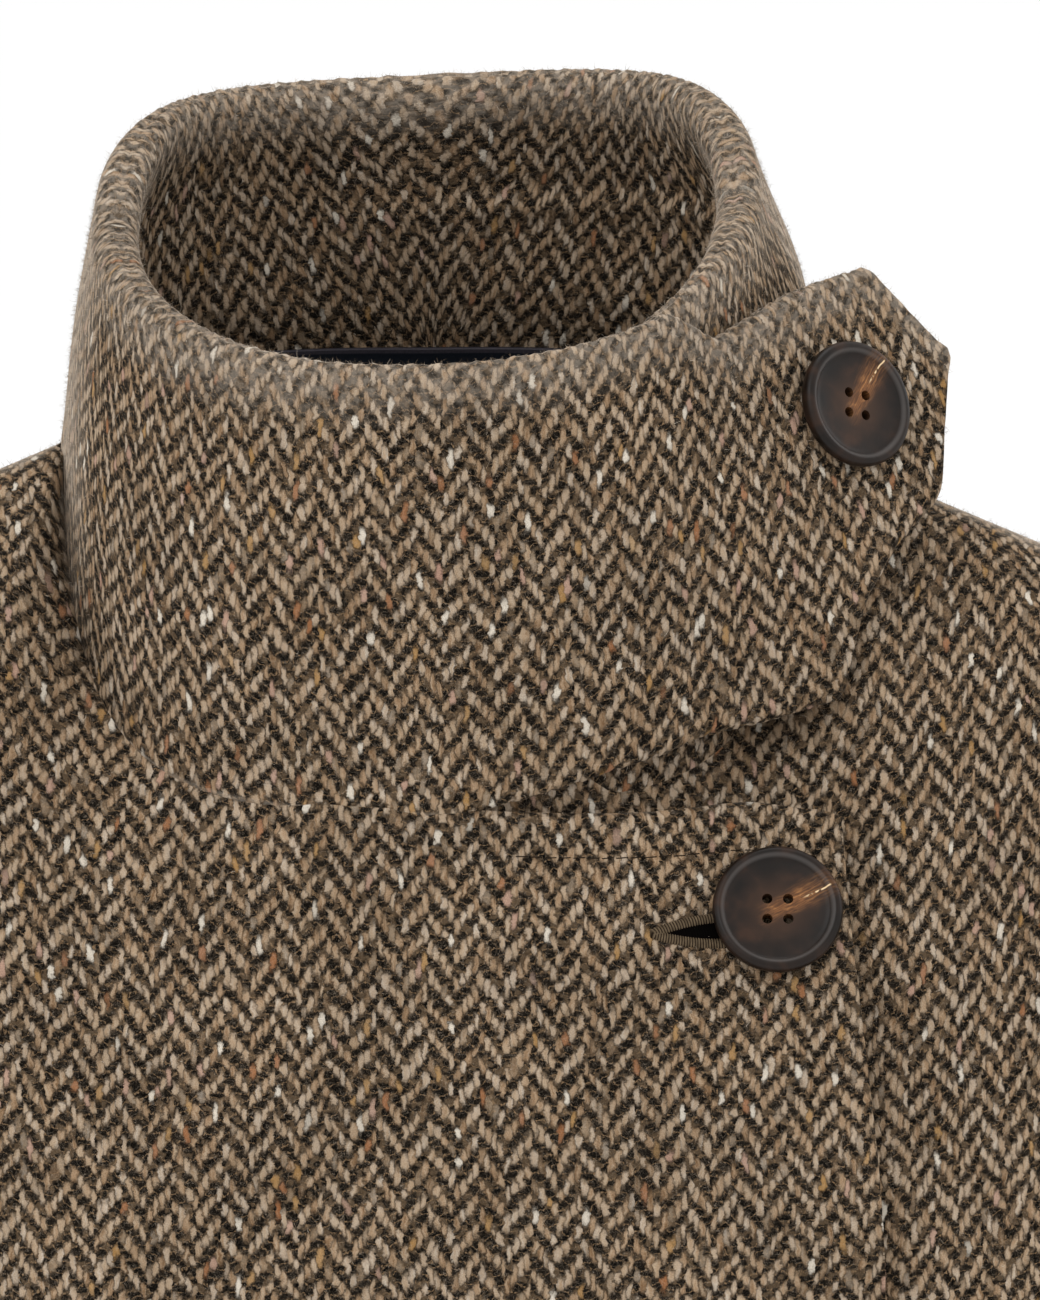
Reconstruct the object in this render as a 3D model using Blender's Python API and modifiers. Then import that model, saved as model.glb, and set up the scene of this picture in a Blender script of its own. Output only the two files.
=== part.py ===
# High neck wrap coat in herringbone tweed, filled out as worn, with nobody in it.
# Metres, +Z up, the front faces -Y and the wearer's left is +X.
# The origin lies between the two neck points, where the shoulders carry the coat.

import math
from collections import namedtuple

import bmesh
import bpy
from mathutils import Matrix, Vector
from mathutils.bvhtree import BVHTree

# Cloth and seams
CLOTH_WALL = 0.003
COLLAR_WALL = 0.007
COLLAR_RIM_WALL = 0.0115
COLLAR_SEAM_WALL = 0.004
COLLAR_TAB_WALL = 0.0058
LINING_WALL = 0.001
GAP = 0.0003
SEAM_TRIM = 0.00035
SHOULDER_TRIM = 0.0008
NECK_SEAM_INSET = 0.0010
SHARP_ANGLE = 40
MERGE_DISTANCE = 1e-6

# Small steps along a curve or surface, to take its direction
TRUNK_STEP = 0.02
SURFACE_STEP = 0.02
RING_STEP = 0.01
AXIS_STEP = 0.1

# Body: sections of the trunk, from the hem to the level of the underarm
Section = namedtuple("Section", "height half_width front_depth back_depth")
TRUNK = [
    Section(-0.900, 0.262, 0.160, 0.162),
    Section(-0.620, 0.240, 0.150, 0.152),
    Section(-0.400, 0.212, 0.136, 0.136),
    Section(-0.225, 0.203, 0.130, 0.125),
]
TRUNK_SQUARENESS = 2.5
TRUNK_ROWS = 11
YOKE_ROWS = 10
YOKE_CROWDING = 1.4
HALF_COLUMNS = 13
NECK_COLUMNS = 6

# Soft folds of the skirt: bearing round the body from the centre front towards +X
Fold = namedtuple("Fold", "bearing half_angle depth top")
SKIRT_FOLDS = [
    Fold(38, 13, 0.007, -0.42),
    Fold(74, 10, 0.005, -0.55),
    Fold(128, 14, 0.009, -0.45),
    Fold(172, 12, 0.006, -0.52),
    Fold(221, 15, 0.008, -0.40),
    Fold(284, 11, 0.006, -0.56),
    Fold(327, 13, 0.006, -0.46),
]

# Neck seam and shoulders
NECK_HALF_WIDTH = 0.087
NECK_POINT_Y = 0.005
NECK_FRONT_DEPTH = 0.086
NECK_BACK_DEPTH = 0.062
NECK_FRONT_DROP = 0.066
NECK_FRONT_CURVE = 2.2
NECK_BACK_RISE = 0.012
NECK_POINT_RISE = 0.003
SHOULDER_TIP = Vector((0.198, 0.012, -0.046))
NECK_SHARE = NECK_COLUMNS / HALF_COLUMNS

# Directions of the cloth at the yoke's edges, each as long as its pull on the curve
FRONT_NECK_PULL = Vector((0.0, 0.055, 0.150))
BACK_NECK_PULL = Vector((0.0, -0.060, 0.150))
SHOULDER_PULL = 0.110
SHOULDER_TIP_PULL = 0.250
ARMHOLE_LOW_PULL = Vector((-0.090, 0.330, 0.115))
ARMHOLE_PULL_FROM = 0.62
SHOULDER_TIP_FROM = 0.60
NECK_PULL_TO = 0.12

# Right front over left front
OVERLAP_EDGE_TOP = 0.0955
OVERLAP_EDGE_LOW = 0.1025
OVERLAP_TOP_DROP = 0.010
OVERLAP_EDGE_LOW_HEIGHT = -0.170
UNDER_EDGE = 0.030
OVERLAP_RISE_FROM = -0.040
OVERLAP_RISE_TO = 0.028
OVERLAP_OUT = CLOTH_WALL + 0.0008
OVERLAP_STAND_OFF = 0.009
OVERLAP_STAND_OFF_ENDS = -0.300
OVERLAP_COLUMNS = 7
FRONT_SEARCH = 0.6
FRONT_SEARCH_HALVINGS = 40
GUIDE_REACH = 0.75
GUIDE_COLUMNS = 3 * HALF_COLUMNS
AHEAD_OF_COAT = -1.0

# Sleeves: centre and half sizes of each ring below the cap
Ring = namedtuple("Ring", "centre half_across half_deep")
SLEEVE_RINGS = [
    Ring(Vector((0.272, 0.002, -0.285)), 0.059, 0.078),
    Ring(Vector((0.300, 0.006, -0.430)), 0.055, 0.069),
    Ring(Vector((0.317, -0.014, -0.560)), 0.050, 0.060),
    Ring(Vector((0.327, -0.036, -0.655)), 0.047, 0.054),
]
SLEEVE_AROUND = 2 * YOKE_ROWS
CAP_ROWS = 6
SLEEVE_ROWS = 9
CAP_TOP_PULL = Vector((0.150, 0.0, -0.040))
CAP_LOW_PULL = Vector((0.045, 0.0, -0.050))
CAP_END_PULL = 0.120
CAP_LOW_EASE = 0.5
SLEEVE_SEAM_TRIM = 2 * SEAM_TRIM

# Collar: outer side of the rim, and how the wound band is laid
RIM_HALF_WIDTH = 0.0777
RIM_CENTRE_X = -0.0012
RIM_CENTRE_Y = -0.002
RIM_HALF_DEPTH = 0.062
RIM_FRONT_SQUARENESS = 2.2
RIM_BACK_SQUARENESS = 3.5
RIM_HEIGHT = 0.0605
RIM_TILT = 0.400
RIM_ROLL = 0.046
RIM_SIDE_RISE = 0.003
COLLAR_BULGE = 0.001
COLLAR_LEFT_BULGE = 0.006
LEFT_BULGE_FROM = 0.5
LEFT_BULGE_TO = 2.6
FRONT = 2 * math.pi
BAND_START = 0.45
BAND_STEPS = 46
TAB_LEAVES = FRONT + 0.72
TAB_RUN = 0.08
TAB_LOW_COURSE = Vector((0.940, 0.342, 0.10))
TAB_TOP_COURSE = Vector((0.643, 0.766, 0.15))
OVER_FROM = FRONT - 0.50
OVER_OUT_LOW = 0.0105
OVER_OUT_TOP = 0.0065
UNDER_IN_LOW = 0.0010
UNDER_IN_TOP = 0.0035
UNDER_IN_ENDS = 1.35

# Where the collar's wall changes: along its course, and as shares of its height
SINGLE_FROM = 0.9
SINGLE_FULL = 1.4
SINGLE_FADE = 0.6
TAB_THINS_FROM = FRONT + 0.2
SEAM_WALL_TO = 0.22
RIM_WALL_FROM = 0.60
RIM_WALL_FULL = 0.95
BAND_RISES = 4
RIM_TURNS = (45, 90, 135)

# Edges of the collar band along its course, as shares of the height from seam to rim
Edge = namedtuple("Edge", "course low top")
BAND_EDGES = [
    Edge(BAND_START, 0.010, 0.90),
    Edge(0.75, 0.010, 0.97),
    Edge(1.05, 0.010, 1.00),
    Edge(FRONT + 0.14, 0.010, 1.00),
    Edge(FRONT + 0.33, 0.042, 1.00),
    Edge(FRONT + 0.48, 0.071, 1.00),
    Edge(FRONT + 0.74, 0.090, 1.00),
    Edge(FRONT + 0.925, 0.094, 0.908),
    Edge(FRONT + 1.19, 0.112, 0.935),
    Edge(FRONT + 1.26, 0.222, 0.940),
    Edge(FRONT + 1.32, 0.297, 0.941),
    Edge(FRONT + 1.46, 0.388, 0.938),
    Edge(FRONT + 1.607, 0.443, 0.933),
    Edge(FRONT + 1.655, 0.459, 0.888),
    Edge(FRONT + 1.715, 0.560, 0.831),
    Edge(FRONT + 1.82, 0.700, 0.732),
]

# Buttons: outer half of the turned profile, from the middle of the face to the back
BUTTON_PROFILE = [
    (0.0000, 0.0034),
    (0.0070, 0.0035),
    (0.0122, 0.0040),
    (0.0131, 0.0047),
    (0.0143, 0.0045),
    (0.0150, 0.0034),
    (0.0147, 0.0014),
    (0.0120, 0.0000),
    (0.0000, 0.0000),
]
BUTTON_SIDES = 20
BUTTON_SEAT_RADIUS = 0.0125
BUTTON_SEAT_STEP = 30
HOLE_RADIUS = 0.0012
HOLE_SPACING = 0.0048
HOLE_SIDES = 6
DRILL_HEIGHT = 0.002
DRILL_DEPTH = 0.012
FRONT_BUTTON_X = 0.080
FRONT_BUTTON_HEIGHTS = [-0.0905, -0.242, -0.392, -0.542]
TAB_BUTTON_COURSE = FRONT + 1.378
TAB_BUTTON_SHARE = 0.68

# Lining at the back of the neck
LINING_COLUMNS = NECK_COLUMNS - 1
LINING_ROWS = 4
LINING_TOP = 0.975

# Colours, roughness
TWEED = ((0.130, 0.095, 0.065, 1.0), 0.95)
TWEED_DARK = ((0.115, 0.085, 0.058, 1.0), 0.95)
LINING = ((0.008, 0.010, 0.016, 1.0), 0.45)
HORN = ((0.030, 0.020, 0.014, 1.0), 0.35)


def smooth(low, high, value):
    share = min(max((value - low) / (high - low), 0.0), 1.0)
    return share * share * (3.0 - 2.0 * share)


def blend(first, second, share):
    return first + (second - first) * share


def hermite(start, start_pull, end, end_pull, share):
    square = share * share
    cube = square * share
    return (
        start * (2 * cube - 3 * square + 1)
        + start_pull * (cube - 2 * square + share)
        + end * (3 * square - 2 * cube)
        + end_pull * (cube - square)
    )


def spline(stations, values, station):
    # A smooth curve through the values, with each slope taken from its neighbours.
    last = len(stations) - 1
    index = 0
    while index < last - 1 and station > stations[index + 1]:
        index += 1

    def slope(i):
        before, after = max(i - 1, 0), min(i + 1, last)
        return (values[after] - values[before]) / (stations[after] - stations[before])

    span = stations[index + 1] - stations[index]
    share = (station - stations[index]) / span
    return hermite(
        values[index], slope(index) * span, values[index + 1], slope(index + 1) * span, share
    )


def power(value, exponent):
    return math.copysign(abs(value) ** exponent, value)


def fold_depth(bearing, height):
    total = 0.0
    for fold in SKIRT_FOLDS:
        away = (bearing - fold.bearing + 180) % 360 - 180
        fall = smooth(fold.top, TRUNK[0].height, height)
        total += fold.depth * fall * math.exp(-((away / fold.half_angle) ** 2))
    return total


def trunk_point(share, height, side, back):
    # share runs from the centre line, 0, to the side seam, 1, on the +X or -X side.
    stations = [row.height for row in TRUNK]
    half_width = spline(stations, [row.half_width for row in TRUNK], height)
    depths = [row.back_depth if back else -row.front_depth for row in TRUNK]
    depth = spline(stations, depths, height)
    angle = share * math.pi / 2
    x = side * half_width * power(math.sin(angle), 2 / TRUNK_SQUARENESS)
    y = depth * power(math.cos(angle), 2 / TRUNK_SQUARENESS)
    bearing = math.degrees(math.atan2(x, -y)) % 360
    outward = Vector((x, y, 0.0)).normalized()
    return Vector((x, y, height)) + outward * fold_depth(bearing, height)


def neck_seam(angle):
    # angle runs from the centre front, 0, over the wearer's left, back and right.
    cosine = math.cos(angle)
    x = NECK_HALF_WIDTH * math.sin(angle)
    if cosine >= 0:
        y = NECK_POINT_Y - NECK_FRONT_DEPTH * cosine
        end = -NECK_FRONT_DROP
        turn = 1 - (1 - cosine) ** NECK_FRONT_CURVE
    else:
        y = NECK_POINT_Y - NECK_BACK_DEPTH * cosine
        end = NECK_BACK_RISE
        turn = 1 - (1 + cosine) ** 2
    return Vector((x, y, blend(NECK_POINT_RISE, end, turn)))


def yoke_top(share, side, back):
    # The neck seam, then the shoulder seam out to the tip.
    if share < NECK_SHARE:
        turn = share / NECK_SHARE * math.pi / 2
        point = neck_seam(math.pi - turn if back else turn)
    else:
        run = (share - NECK_SHARE) / (1 - NECK_SHARE)
        point = blend(neck_seam(math.pi / 2), SHOULDER_TIP, run)
    return Vector((side * point.x, point.y, point.z))


def yoke_point(share, rise, side, back):
    # rise runs from the level of the underarm, 0, to the neck and shoulder seams, 1.
    facing = -1 if back else 1
    top_level = TRUNK[-1].height
    start = trunk_point(share, top_level, side, back)
    end = yoke_top(share, side, back)
    below = trunk_point(share, top_level - TRUNK_STEP, side, back)
    reach = (end - start).length
    upward = (start - below).normalized() * reach
    armhole = ARMHOLE_LOW_PULL.copy()
    armhole.x *= side
    armhole.y *= -facing
    start_pull = blend(upward, armhole, smooth(ARMHOLE_PULL_FROM, 1.0, share))
    neck_pull = BACK_NECK_PULL if back else FRONT_NECK_PULL
    tip = smooth(SHOULDER_TIP_FROM, 1.0, share)
    shoulder_pull = blend(SHOULDER_PULL, SHOULDER_TIP_PULL, tip)
    over_shoulder = Vector((0.0, facing * shoulder_pull, 0.0))
    end_pull = blend(neck_pull, over_shoulder, smooth(NECK_PULL_TO, NECK_SHARE, share))
    return hermite(start, start_pull, end, end_pull, rise)


def row_count():
    return TRUNK_ROWS + YOKE_ROWS + 1


def yoke_rise(step):
    # The rows crowd towards the shoulder, where the cloth turns over.
    return 1 - (1 - step / YOKE_ROWS) ** YOKE_CROWDING


def panel_point(row, share, side, back):
    # One point of a body panel, with its seam edges trimmed back.
    facing = 1 if back else -1
    if row <= TRUNK_ROWS:
        height = blend(TRUNK[0].height, TRUNK[-1].height, row / TRUNK_ROWS)
        point = trunk_point(share, height, side, back)
    else:
        point = yoke_point(share, yoke_rise(row - TRUNK_ROWS), side, back)
    on_side_seam = share == 1.0 and row <= TRUNK_ROWS
    on_shoulder_seam = row == row_count() - 1 and share >= NECK_SHARE
    if on_side_seam:
        point.y += facing * SEAM_TRIM
    if on_shoulder_seam:
        point.y += facing * SHOULDER_TRIM
    return point


def grid_mesh(name, rows, closed=False):
    # A grid of quads moved onto rows of points. A closed grid joins its last column to its first.
    columns = len(rows[0])
    bm = bmesh.new()
    bmesh.ops.create_grid(bm, x_segments=columns - 1, y_segments=len(rows) - 1, size=1.0)
    bm.verts.ensure_lookup_table()
    for r, points in enumerate(rows):
        for c, point in enumerate(points):
            bm.verts[r * columns + c].co = point
    if closed:
        bmesh.ops.remove_doubles(bm, verts=bm.verts, dist=MERGE_DISTANCE)
    mesh = bpy.data.meshes.new(name)
    bm.to_mesh(mesh)
    bm.free()
    return mesh


def add_object(name, mesh, material, collection):
    mesh.materials.clear()
    mesh.materials.append(material)
    mesh.shade_smooth()
    mesh.set_sharp_from_angle(angle=math.radians(SHARP_ANGLE))
    obj = bpy.data.objects.new(name, mesh)
    collection.objects.link(obj)
    return obj


def add_shell(name, rows, wall, material, collection, closed=False):
    obj = add_object(name, grid_mesh(name, rows, closed), material, collection)
    solidify = obj.modifiers.new("wall", "SOLIDIFY")
    solidify.thickness = wall
    solidify.offset = -1.0
    return obj


def make_material(name, finish):
    colour, roughness = finish
    material = bpy.data.materials.new(name)
    material.use_nodes = True
    shader = material.node_tree.nodes["Principled BSDF"]
    shader.inputs["Base Color"].default_value = colour
    shader.inputs["Roughness"].default_value = roughness
    shader.inputs["Metallic"].default_value = 0.0
    material.diffuse_color = colour
    return material


def share_at_width(row, width, side):
    # The share of a front panel's row at which it is this far from the centre line.
    low, high = 0.0, FRONT_SEARCH
    for _ in range(FRONT_SEARCH_HALVINGS):
        middle = (low + high) / 2
        if abs(panel_point(row, middle, side, False).x) < width:
            low = middle
        else:
            high = middle
    return high


def spaced(first, last, count):
    return [blend(first, last, i / count) for i in range(count + 1)]


def back_rows():
    rows = []
    for row in range(row_count()):
        right = [panel_point(row, s, -1, True) for s in spaced(1.0, 0.0, HALF_COLUMNS)]
        left = [panel_point(row, s, 1, True) for s in spaced(0.0, 1.0, HALF_COLUMNS)]
        rows.append((right + left[1:])[::-1])
    return rows


def left_front_rows():
    rows = []
    for row in range(row_count()):
        shares = [share_at_width(row, UNDER_EDGE, 1)] + spaced(0.0, 1.0, HALF_COLUMNS)[2:]
        rows.append([panel_point(row, s, 1, False) for s in shares])
    return rows


def left_front_surface():
    # The plain outer side of the left front, on which the right front's overlap is laid.
    rows = []
    shares = spaced(0.0, GUIDE_REACH, GUIDE_COLUMNS)
    for row in range(row_count()):
        rows.append([panel_point(row, s, 1, False) for s in shares])
    mesh = grid_mesh("left_front_guide", rows)
    tree = surface_tree(mesh)
    bpy.data.meshes.remove(mesh)
    return tree


def surface_tree(mesh):
    faces = [face.vertices for face in mesh.polygons]
    return BVHTree.FromPolygons([vertex.co for vertex in mesh.vertices], faces)


def surface_at(tree, x, height):
    ahead = Vector((x, AHEAD_OF_COAT, height))
    place, normal, _, _ = tree.ray_cast(ahead, Vector((0.0, 1.0, 0.0)))
    return place, normal if normal.y < 0 else -normal


def near_top(height):
    return smooth(OVERLAP_STAND_OFF_ENDS, -NECK_FRONT_DROP, height)


def overlap_out(x, height):
    # The overlap lies on the left front, and its stiff top corner stands off it.
    laid = OVERLAP_OUT * smooth(OVERLAP_RISE_FROM, OVERLAP_RISE_TO, x)
    stiff = max(x, 0.0) / OVERLAP_EDGE_TOP * near_top(height)
    return laid + OVERLAP_STAND_OFF * stiff


def overlap_edge(height):
    top = -NECK_FRONT_DROP
    return blend(
        OVERLAP_EDGE_TOP, OVERLAP_EDGE_LOW, smooth(top, OVERLAP_EDGE_LOW_HEIGHT, height)
    )


def right_front_rows(tree):
    rows = []
    for row in range(row_count()):
        points = []
        for share in spaced(1.0, 0.0, HALF_COLUMNS):
            point = panel_point(row, share, -1, False)
            point.y -= overlap_out(point.x, point.z)
            points.append(point)
        height = points[-1].z
        edge = overlap_edge(height)
        for run in spaced(0.0, 1.0, OVERLAP_COLUMNS)[1:]:
            drop = OVERLAP_TOP_DROP * run * near_top(height)
            place, normal = surface_at(tree, edge * run, height - drop)
            points.append(place + normal * overlap_out(place.x, place.z))
        rows.append(points)
    return rows


def armhole_ring(side):
    # From the shoulder tip down the front to the underarm and up the back.
    points = []
    for i in range(SLEEVE_AROUND):
        back = i >= YOKE_ROWS
        step = i - YOKE_ROWS if back else YOKE_ROWS - i
        points.append(yoke_point(1.0, yoke_rise(step), side, back))
    return points


def sleeve_turn(i):
    # The turn round the sleeve, from the top over the front, of one of the armhole's points.
    if i >= YOKE_ROWS:
        return math.pi * (1 + yoke_rise(i - YOKE_ROWS))
    return math.pi * (1 - yoke_rise(YOKE_ROWS - i))


def sleeve_axis(station, count):
    stations = list(range(len(SLEEVE_RINGS)))
    place = station / count * (len(SLEEVE_RINGS) - 1)

    def at(column):
        return spline(stations, [column(ring) for ring in SLEEVE_RINGS], place)

    return (
        at(lambda ring: ring.centre),
        at(lambda ring: ring.half_across),
        at(lambda ring: ring.half_deep),
    )


def sleeve_ring(station, side):
    centre, across, deep = sleeve_axis(station, SLEEVE_ROWS)
    ahead = sleeve_axis(min(station + AXIS_STEP, SLEEVE_ROWS), SLEEVE_ROWS)[0]
    behind = sleeve_axis(max(station - AXIS_STEP, 0), SLEEVE_ROWS)[0]
    down = (ahead - behind).normalized()
    out = Vector((1.0, 0.0, 0.0))
    out = (out - down * out.dot(down)).normalized()
    fore = down.cross(out)
    if fore.y > 0:
        fore = -fore
    points = []
    for i in range(SLEEVE_AROUND):
        turn = sleeve_turn(i)
        point = centre + out * across * math.cos(turn) + fore * deep * math.sin(turn)
        points.append(Vector((side * point.x, point.y, point.z)))
    return points, Vector((side * down.x, down.y, down.z))


def sleeve_rows(side):
    armhole = armhole_ring(side)
    first, down = sleeve_ring(0, side)
    rows = []
    for step in range(CAP_ROWS):
        ring = []
        for i in range(SLEEVE_AROUND):
            low = (1 - math.cos(sleeve_turn(i))) / 2
            leave = blend(CAP_TOP_PULL, CAP_LOW_PULL, low)
            leave = Vector((side * leave.x, leave.y, leave.z))
            start = armhole[i] + leave.normalized() * SLEEVE_SEAM_TRIM
            arrive = down * CAP_END_PULL * (1 - CAP_LOW_EASE * low)
            ring.append(hermite(start, leave, first[i], arrive, step / CAP_ROWS))
        rows.append(ring)
    for station in range(SLEEVE_ROWS + 1):
        rows.append(sleeve_ring(station, side)[0])
    turned = rows if side > 0 else [ring[::-1] for ring in rows]
    return [ring + ring[:1] for ring in turned]


def rim_outer(angle):
    sine, cosine = math.sin(angle), math.cos(angle)
    squareness = RIM_FRONT_SQUARENESS if cosine >= 0 else RIM_BACK_SQUARENESS
    x = RIM_CENTRE_X + RIM_HALF_WIDTH * power(sine, 2 / squareness)
    y = RIM_CENTRE_Y - RIM_HALF_DEPTH * power(cosine, 2 / squareness)
    z = RIM_HEIGHT + RIM_TILT * y + RIM_ROLL * x + RIM_SIDE_RISE * sine * sine
    return Vector((x, y, z))


def level_normal(curve, angle):
    # The outward direction, in plan, of a curve round the neck.
    course = curve(angle + RING_STEP) - curve(angle - RING_STEP)
    return Vector((course.y, -course.x, 0.0)).normalized()


def band_line(curve, course, out, inward, straight):
    # The band's lower or upper line: round the neck, then straight on as the tab.
    angle = min(course, TAB_LEAVES)
    over = out * smooth(OVER_FROM, TAB_LEAVES, angle)
    under = inward * (1 - smooth(BAND_START, UNDER_IN_ENDS, angle))
    point = curve(angle) + level_normal(curve, angle) * (over - under)
    return point + straight * TAB_RUN * max(course - TAB_LEAVES, 0.0)


def band_point(course, share):
    low = band_line(neck_seam, course, OVER_OUT_LOW, UNDER_IN_LOW, TAB_LOW_COURSE)
    low -= level_normal(neck_seam, min(course, TAB_LEAVES)) * NECK_SEAM_INSET
    top = band_line(rim_outer, course, OVER_OUT_TOP, UNDER_IN_TOP, TAB_TOP_COURSE)
    left = math.pi / 2
    full = smooth(LEFT_BULGE_FROM, left, course) * (1 - smooth(left, LEFT_BULGE_TO, course))
    bulge = COLLAR_BULGE + COLLAR_LEFT_BULGE * full
    outward = level_normal(rim_outer, min(course, TAB_LEAVES))
    return blend(low, top, share) + outward * bulge * math.sin(math.pi * share) ** 2


def band_normal(course, share):
    step = SURFACE_STEP
    along = band_point(course + step, share) - band_point(course - step, share)
    upward = band_point(course, share + step) - band_point(course, share - step)
    return along.cross(upward).normalized()


def band_edges(course):
    index = 0
    while index < len(BAND_EDGES) - 2 and course > BAND_EDGES[index + 1].course:
        index += 1
    first, second = BAND_EDGES[index], BAND_EDGES[index + 1]
    share = (course - first.course) / (second.course - first.course)
    return blend(first.low, second.low, share), blend(first.top, second.top, share)


def band_wall(course, share):
    # Thin at the seam, thick at the rolled rim, and even where one end lies over the other.
    single = smooth(SINGLE_FROM, SINGLE_FULL, course)
    single *= 1 - smooth(OVER_FROM, OVER_FROM + SINGLE_FADE, course)
    body = blend(COLLAR_WALL, COLLAR_TAB_WALL, smooth(TAB_THINS_FROM, TAB_LEAVES, course))
    wall = blend(COLLAR_SEAM_WALL, body, smooth(0.0, SEAM_WALL_TO, share))
    rolled = single * smooth(RIM_WALL_FROM, RIM_WALL_FULL, share)
    return wall + (COLLAR_RIM_WALL - COLLAR_WALL) * rolled


def band_section(course):
    # A closed loop: up the outer side, round the rim and down the inner side.
    low, top = band_edges(course)
    height = (band_point(course, top) - band_point(course, low)).length
    radius = min(band_wall(course, top) / 2, height / 4)
    straight_top = top - (top - low) * radius / height
    points_out = []
    points_in = []
    for share in spaced(low, straight_top, BAND_RISES):
        place = band_point(course, share)
        normal = band_normal(course, share)
        points_out.append(place)
        points_in.append(place - normal * band_wall(course, share))
    crown = points_out[-1].lerp(points_in[-1], 0.5)
    rise = (band_point(course, top) - band_point(course, straight_top)).normalized()
    half = (points_out[-1] - points_in[-1]) / 2
    arc = []
    for turn in RIM_TURNS:
        arc.append(
            crown + half * math.cos(math.radians(turn))
            + rise * radius * math.sin(math.radians(turn))
        )
    return points_out + arc + points_in[::-1]


def collar_courses():
    corners = [edge.course for edge in BAND_EDGES]
    end = corners[-1]
    courses = []
    for first, second in zip(corners, corners[1:]):
        steps = max(1, round(BAND_STEPS * (second - first) / (end - corners[0])))
        courses += spaced(first, second, steps)[:-1]
    return courses + [end]


def add_collar(material, collection):
    rows = [band_section(course) for course in collar_courses()]
    rows = [ring + ring[:1] for ring in rows]
    mesh = grid_mesh("collar", rows, closed=True)
    bm = bmesh.new()
    bm.from_mesh(mesh)
    bmesh.ops.holes_fill(bm, edges=[e for e in bm.edges if e.is_boundary], sides=0)
    bmesh.ops.recalc_face_normals(bm, faces=bm.faces)
    bm.to_mesh(mesh)
    bm.free()
    return add_object("collar", mesh, material, collection)


def lining_rows():
    # Just inside the back panel, on its own rows and columns, from the neck seam down.
    rises = [yoke_rise(YOKE_ROWS - step) for step in range(LINING_ROWS, 0, -1)] + [LINING_TOP]
    rows = []
    for rise in rises:
        points = []
        for column in range(LINING_COLUMNS, -LINING_COLUMNS - 1, -1):
            share = abs(column) / HALF_COLUMNS
            side = 1 if column >= 0 else -1
            place = yoke_point(share, rise, side, True)
            across = yoke_point(share + SURFACE_STEP, rise, side, True) - place
            upward = place - yoke_point(share, rise - SURFACE_STEP, side, True)
            inward = across.cross(upward).normalized() * side
            points.append(place + inward * (CLOTH_WALL + 2 * GAP))
        rows.append(points)
    return rows


def make_button_mesh(collection):
    profile = bpy.data.meshes.new("button_profile")
    points = [(radius, 0.0, height) for radius, height in BUTTON_PROFILE]
    profile.from_pydata(points, [(i, i + 1) for i in range(len(points) - 1)], [])
    turned = bpy.data.objects.new("button_turned", profile)
    collection.objects.link(turned)
    screw = turned.modifiers.new("turn", "SCREW")
    screw.steps = BUTTON_SIDES
    screw.render_steps = BUTTON_SIDES
    screw.use_merge_vertices = True
    screw.merge_threshold = MERGE_DISTANCE

    drill = bpy.data.meshes.new("button_drill")
    bm = bmesh.new()
    for quarter in range(4):
        turn = math.radians(45 + 90 * quarter)
        reach = HOLE_SPACING / math.sqrt(2)
        place = Vector((math.cos(turn) * reach, math.sin(turn) * reach, DRILL_HEIGHT))
        bmesh.ops.create_cone(
            bm, cap_ends=True, segments=HOLE_SIDES, radius1=HOLE_RADIUS, radius2=HOLE_RADIUS,
            depth=DRILL_DEPTH, matrix=Matrix.Translation(place),
        )
    bm.to_mesh(drill)
    bm.free()
    cutter = bpy.data.objects.new("button_drill", drill)
    cutter.hide_render = True
    cutter.display_type = "WIRE"
    collection.objects.link(cutter)
    cut = turned.modifiers.new("holes", "BOOLEAN")
    cut.operation = "DIFFERENCE"
    cut.solver = "EXACT"
    cut.object = cutter

    depsgraph = bpy.context.evaluated_depsgraph_get()
    mesh = bpy.data.meshes.new_from_object(turned.evaluated_get(depsgraph))
    mesh.name = "button"
    bpy.data.objects.remove(turned)
    return mesh


def seat_on_front(tree, x, height):
    # The place on the right front, and the direction of the cloth there over a button's width.
    across = surface_at(tree, x + BUTTON_SEAT_RADIUS, height)[0]
    across -= surface_at(tree, x - BUTTON_SEAT_RADIUS, height)[0]
    upward = surface_at(tree, x, height + BUTTON_SEAT_RADIUS)[0]
    upward -= surface_at(tree, x, height - BUTTON_SEAT_RADIUS)[0]
    return surface_at(tree, x, height)[0], across.cross(upward).normalized()


def add_button(name, mesh, tree, place, normal, material, collection):
    # The flat back is lifted until it clears the curved cloth all round.
    lift = 0.0
    spoke = normal.orthogonal().normalized() * BUTTON_SEAT_RADIUS
    for turn in range(0, 360, BUTTON_SEAT_STEP):
        start = place + Matrix.Rotation(math.radians(turn), 3, normal) @ spoke
        hit = tree.ray_cast(start + normal * BUTTON_SEAT_RADIUS, -normal)[0]
        if hit is not None:
            lift = max(lift, (hit - place).dot(normal))
    obj = add_object(name, mesh, material, collection)
    obj.rotation_mode = "QUATERNION"
    obj.rotation_quaternion = normal.to_track_quat("Z", "Y")
    obj.location = place + normal * (lift + GAP)
    return obj


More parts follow.
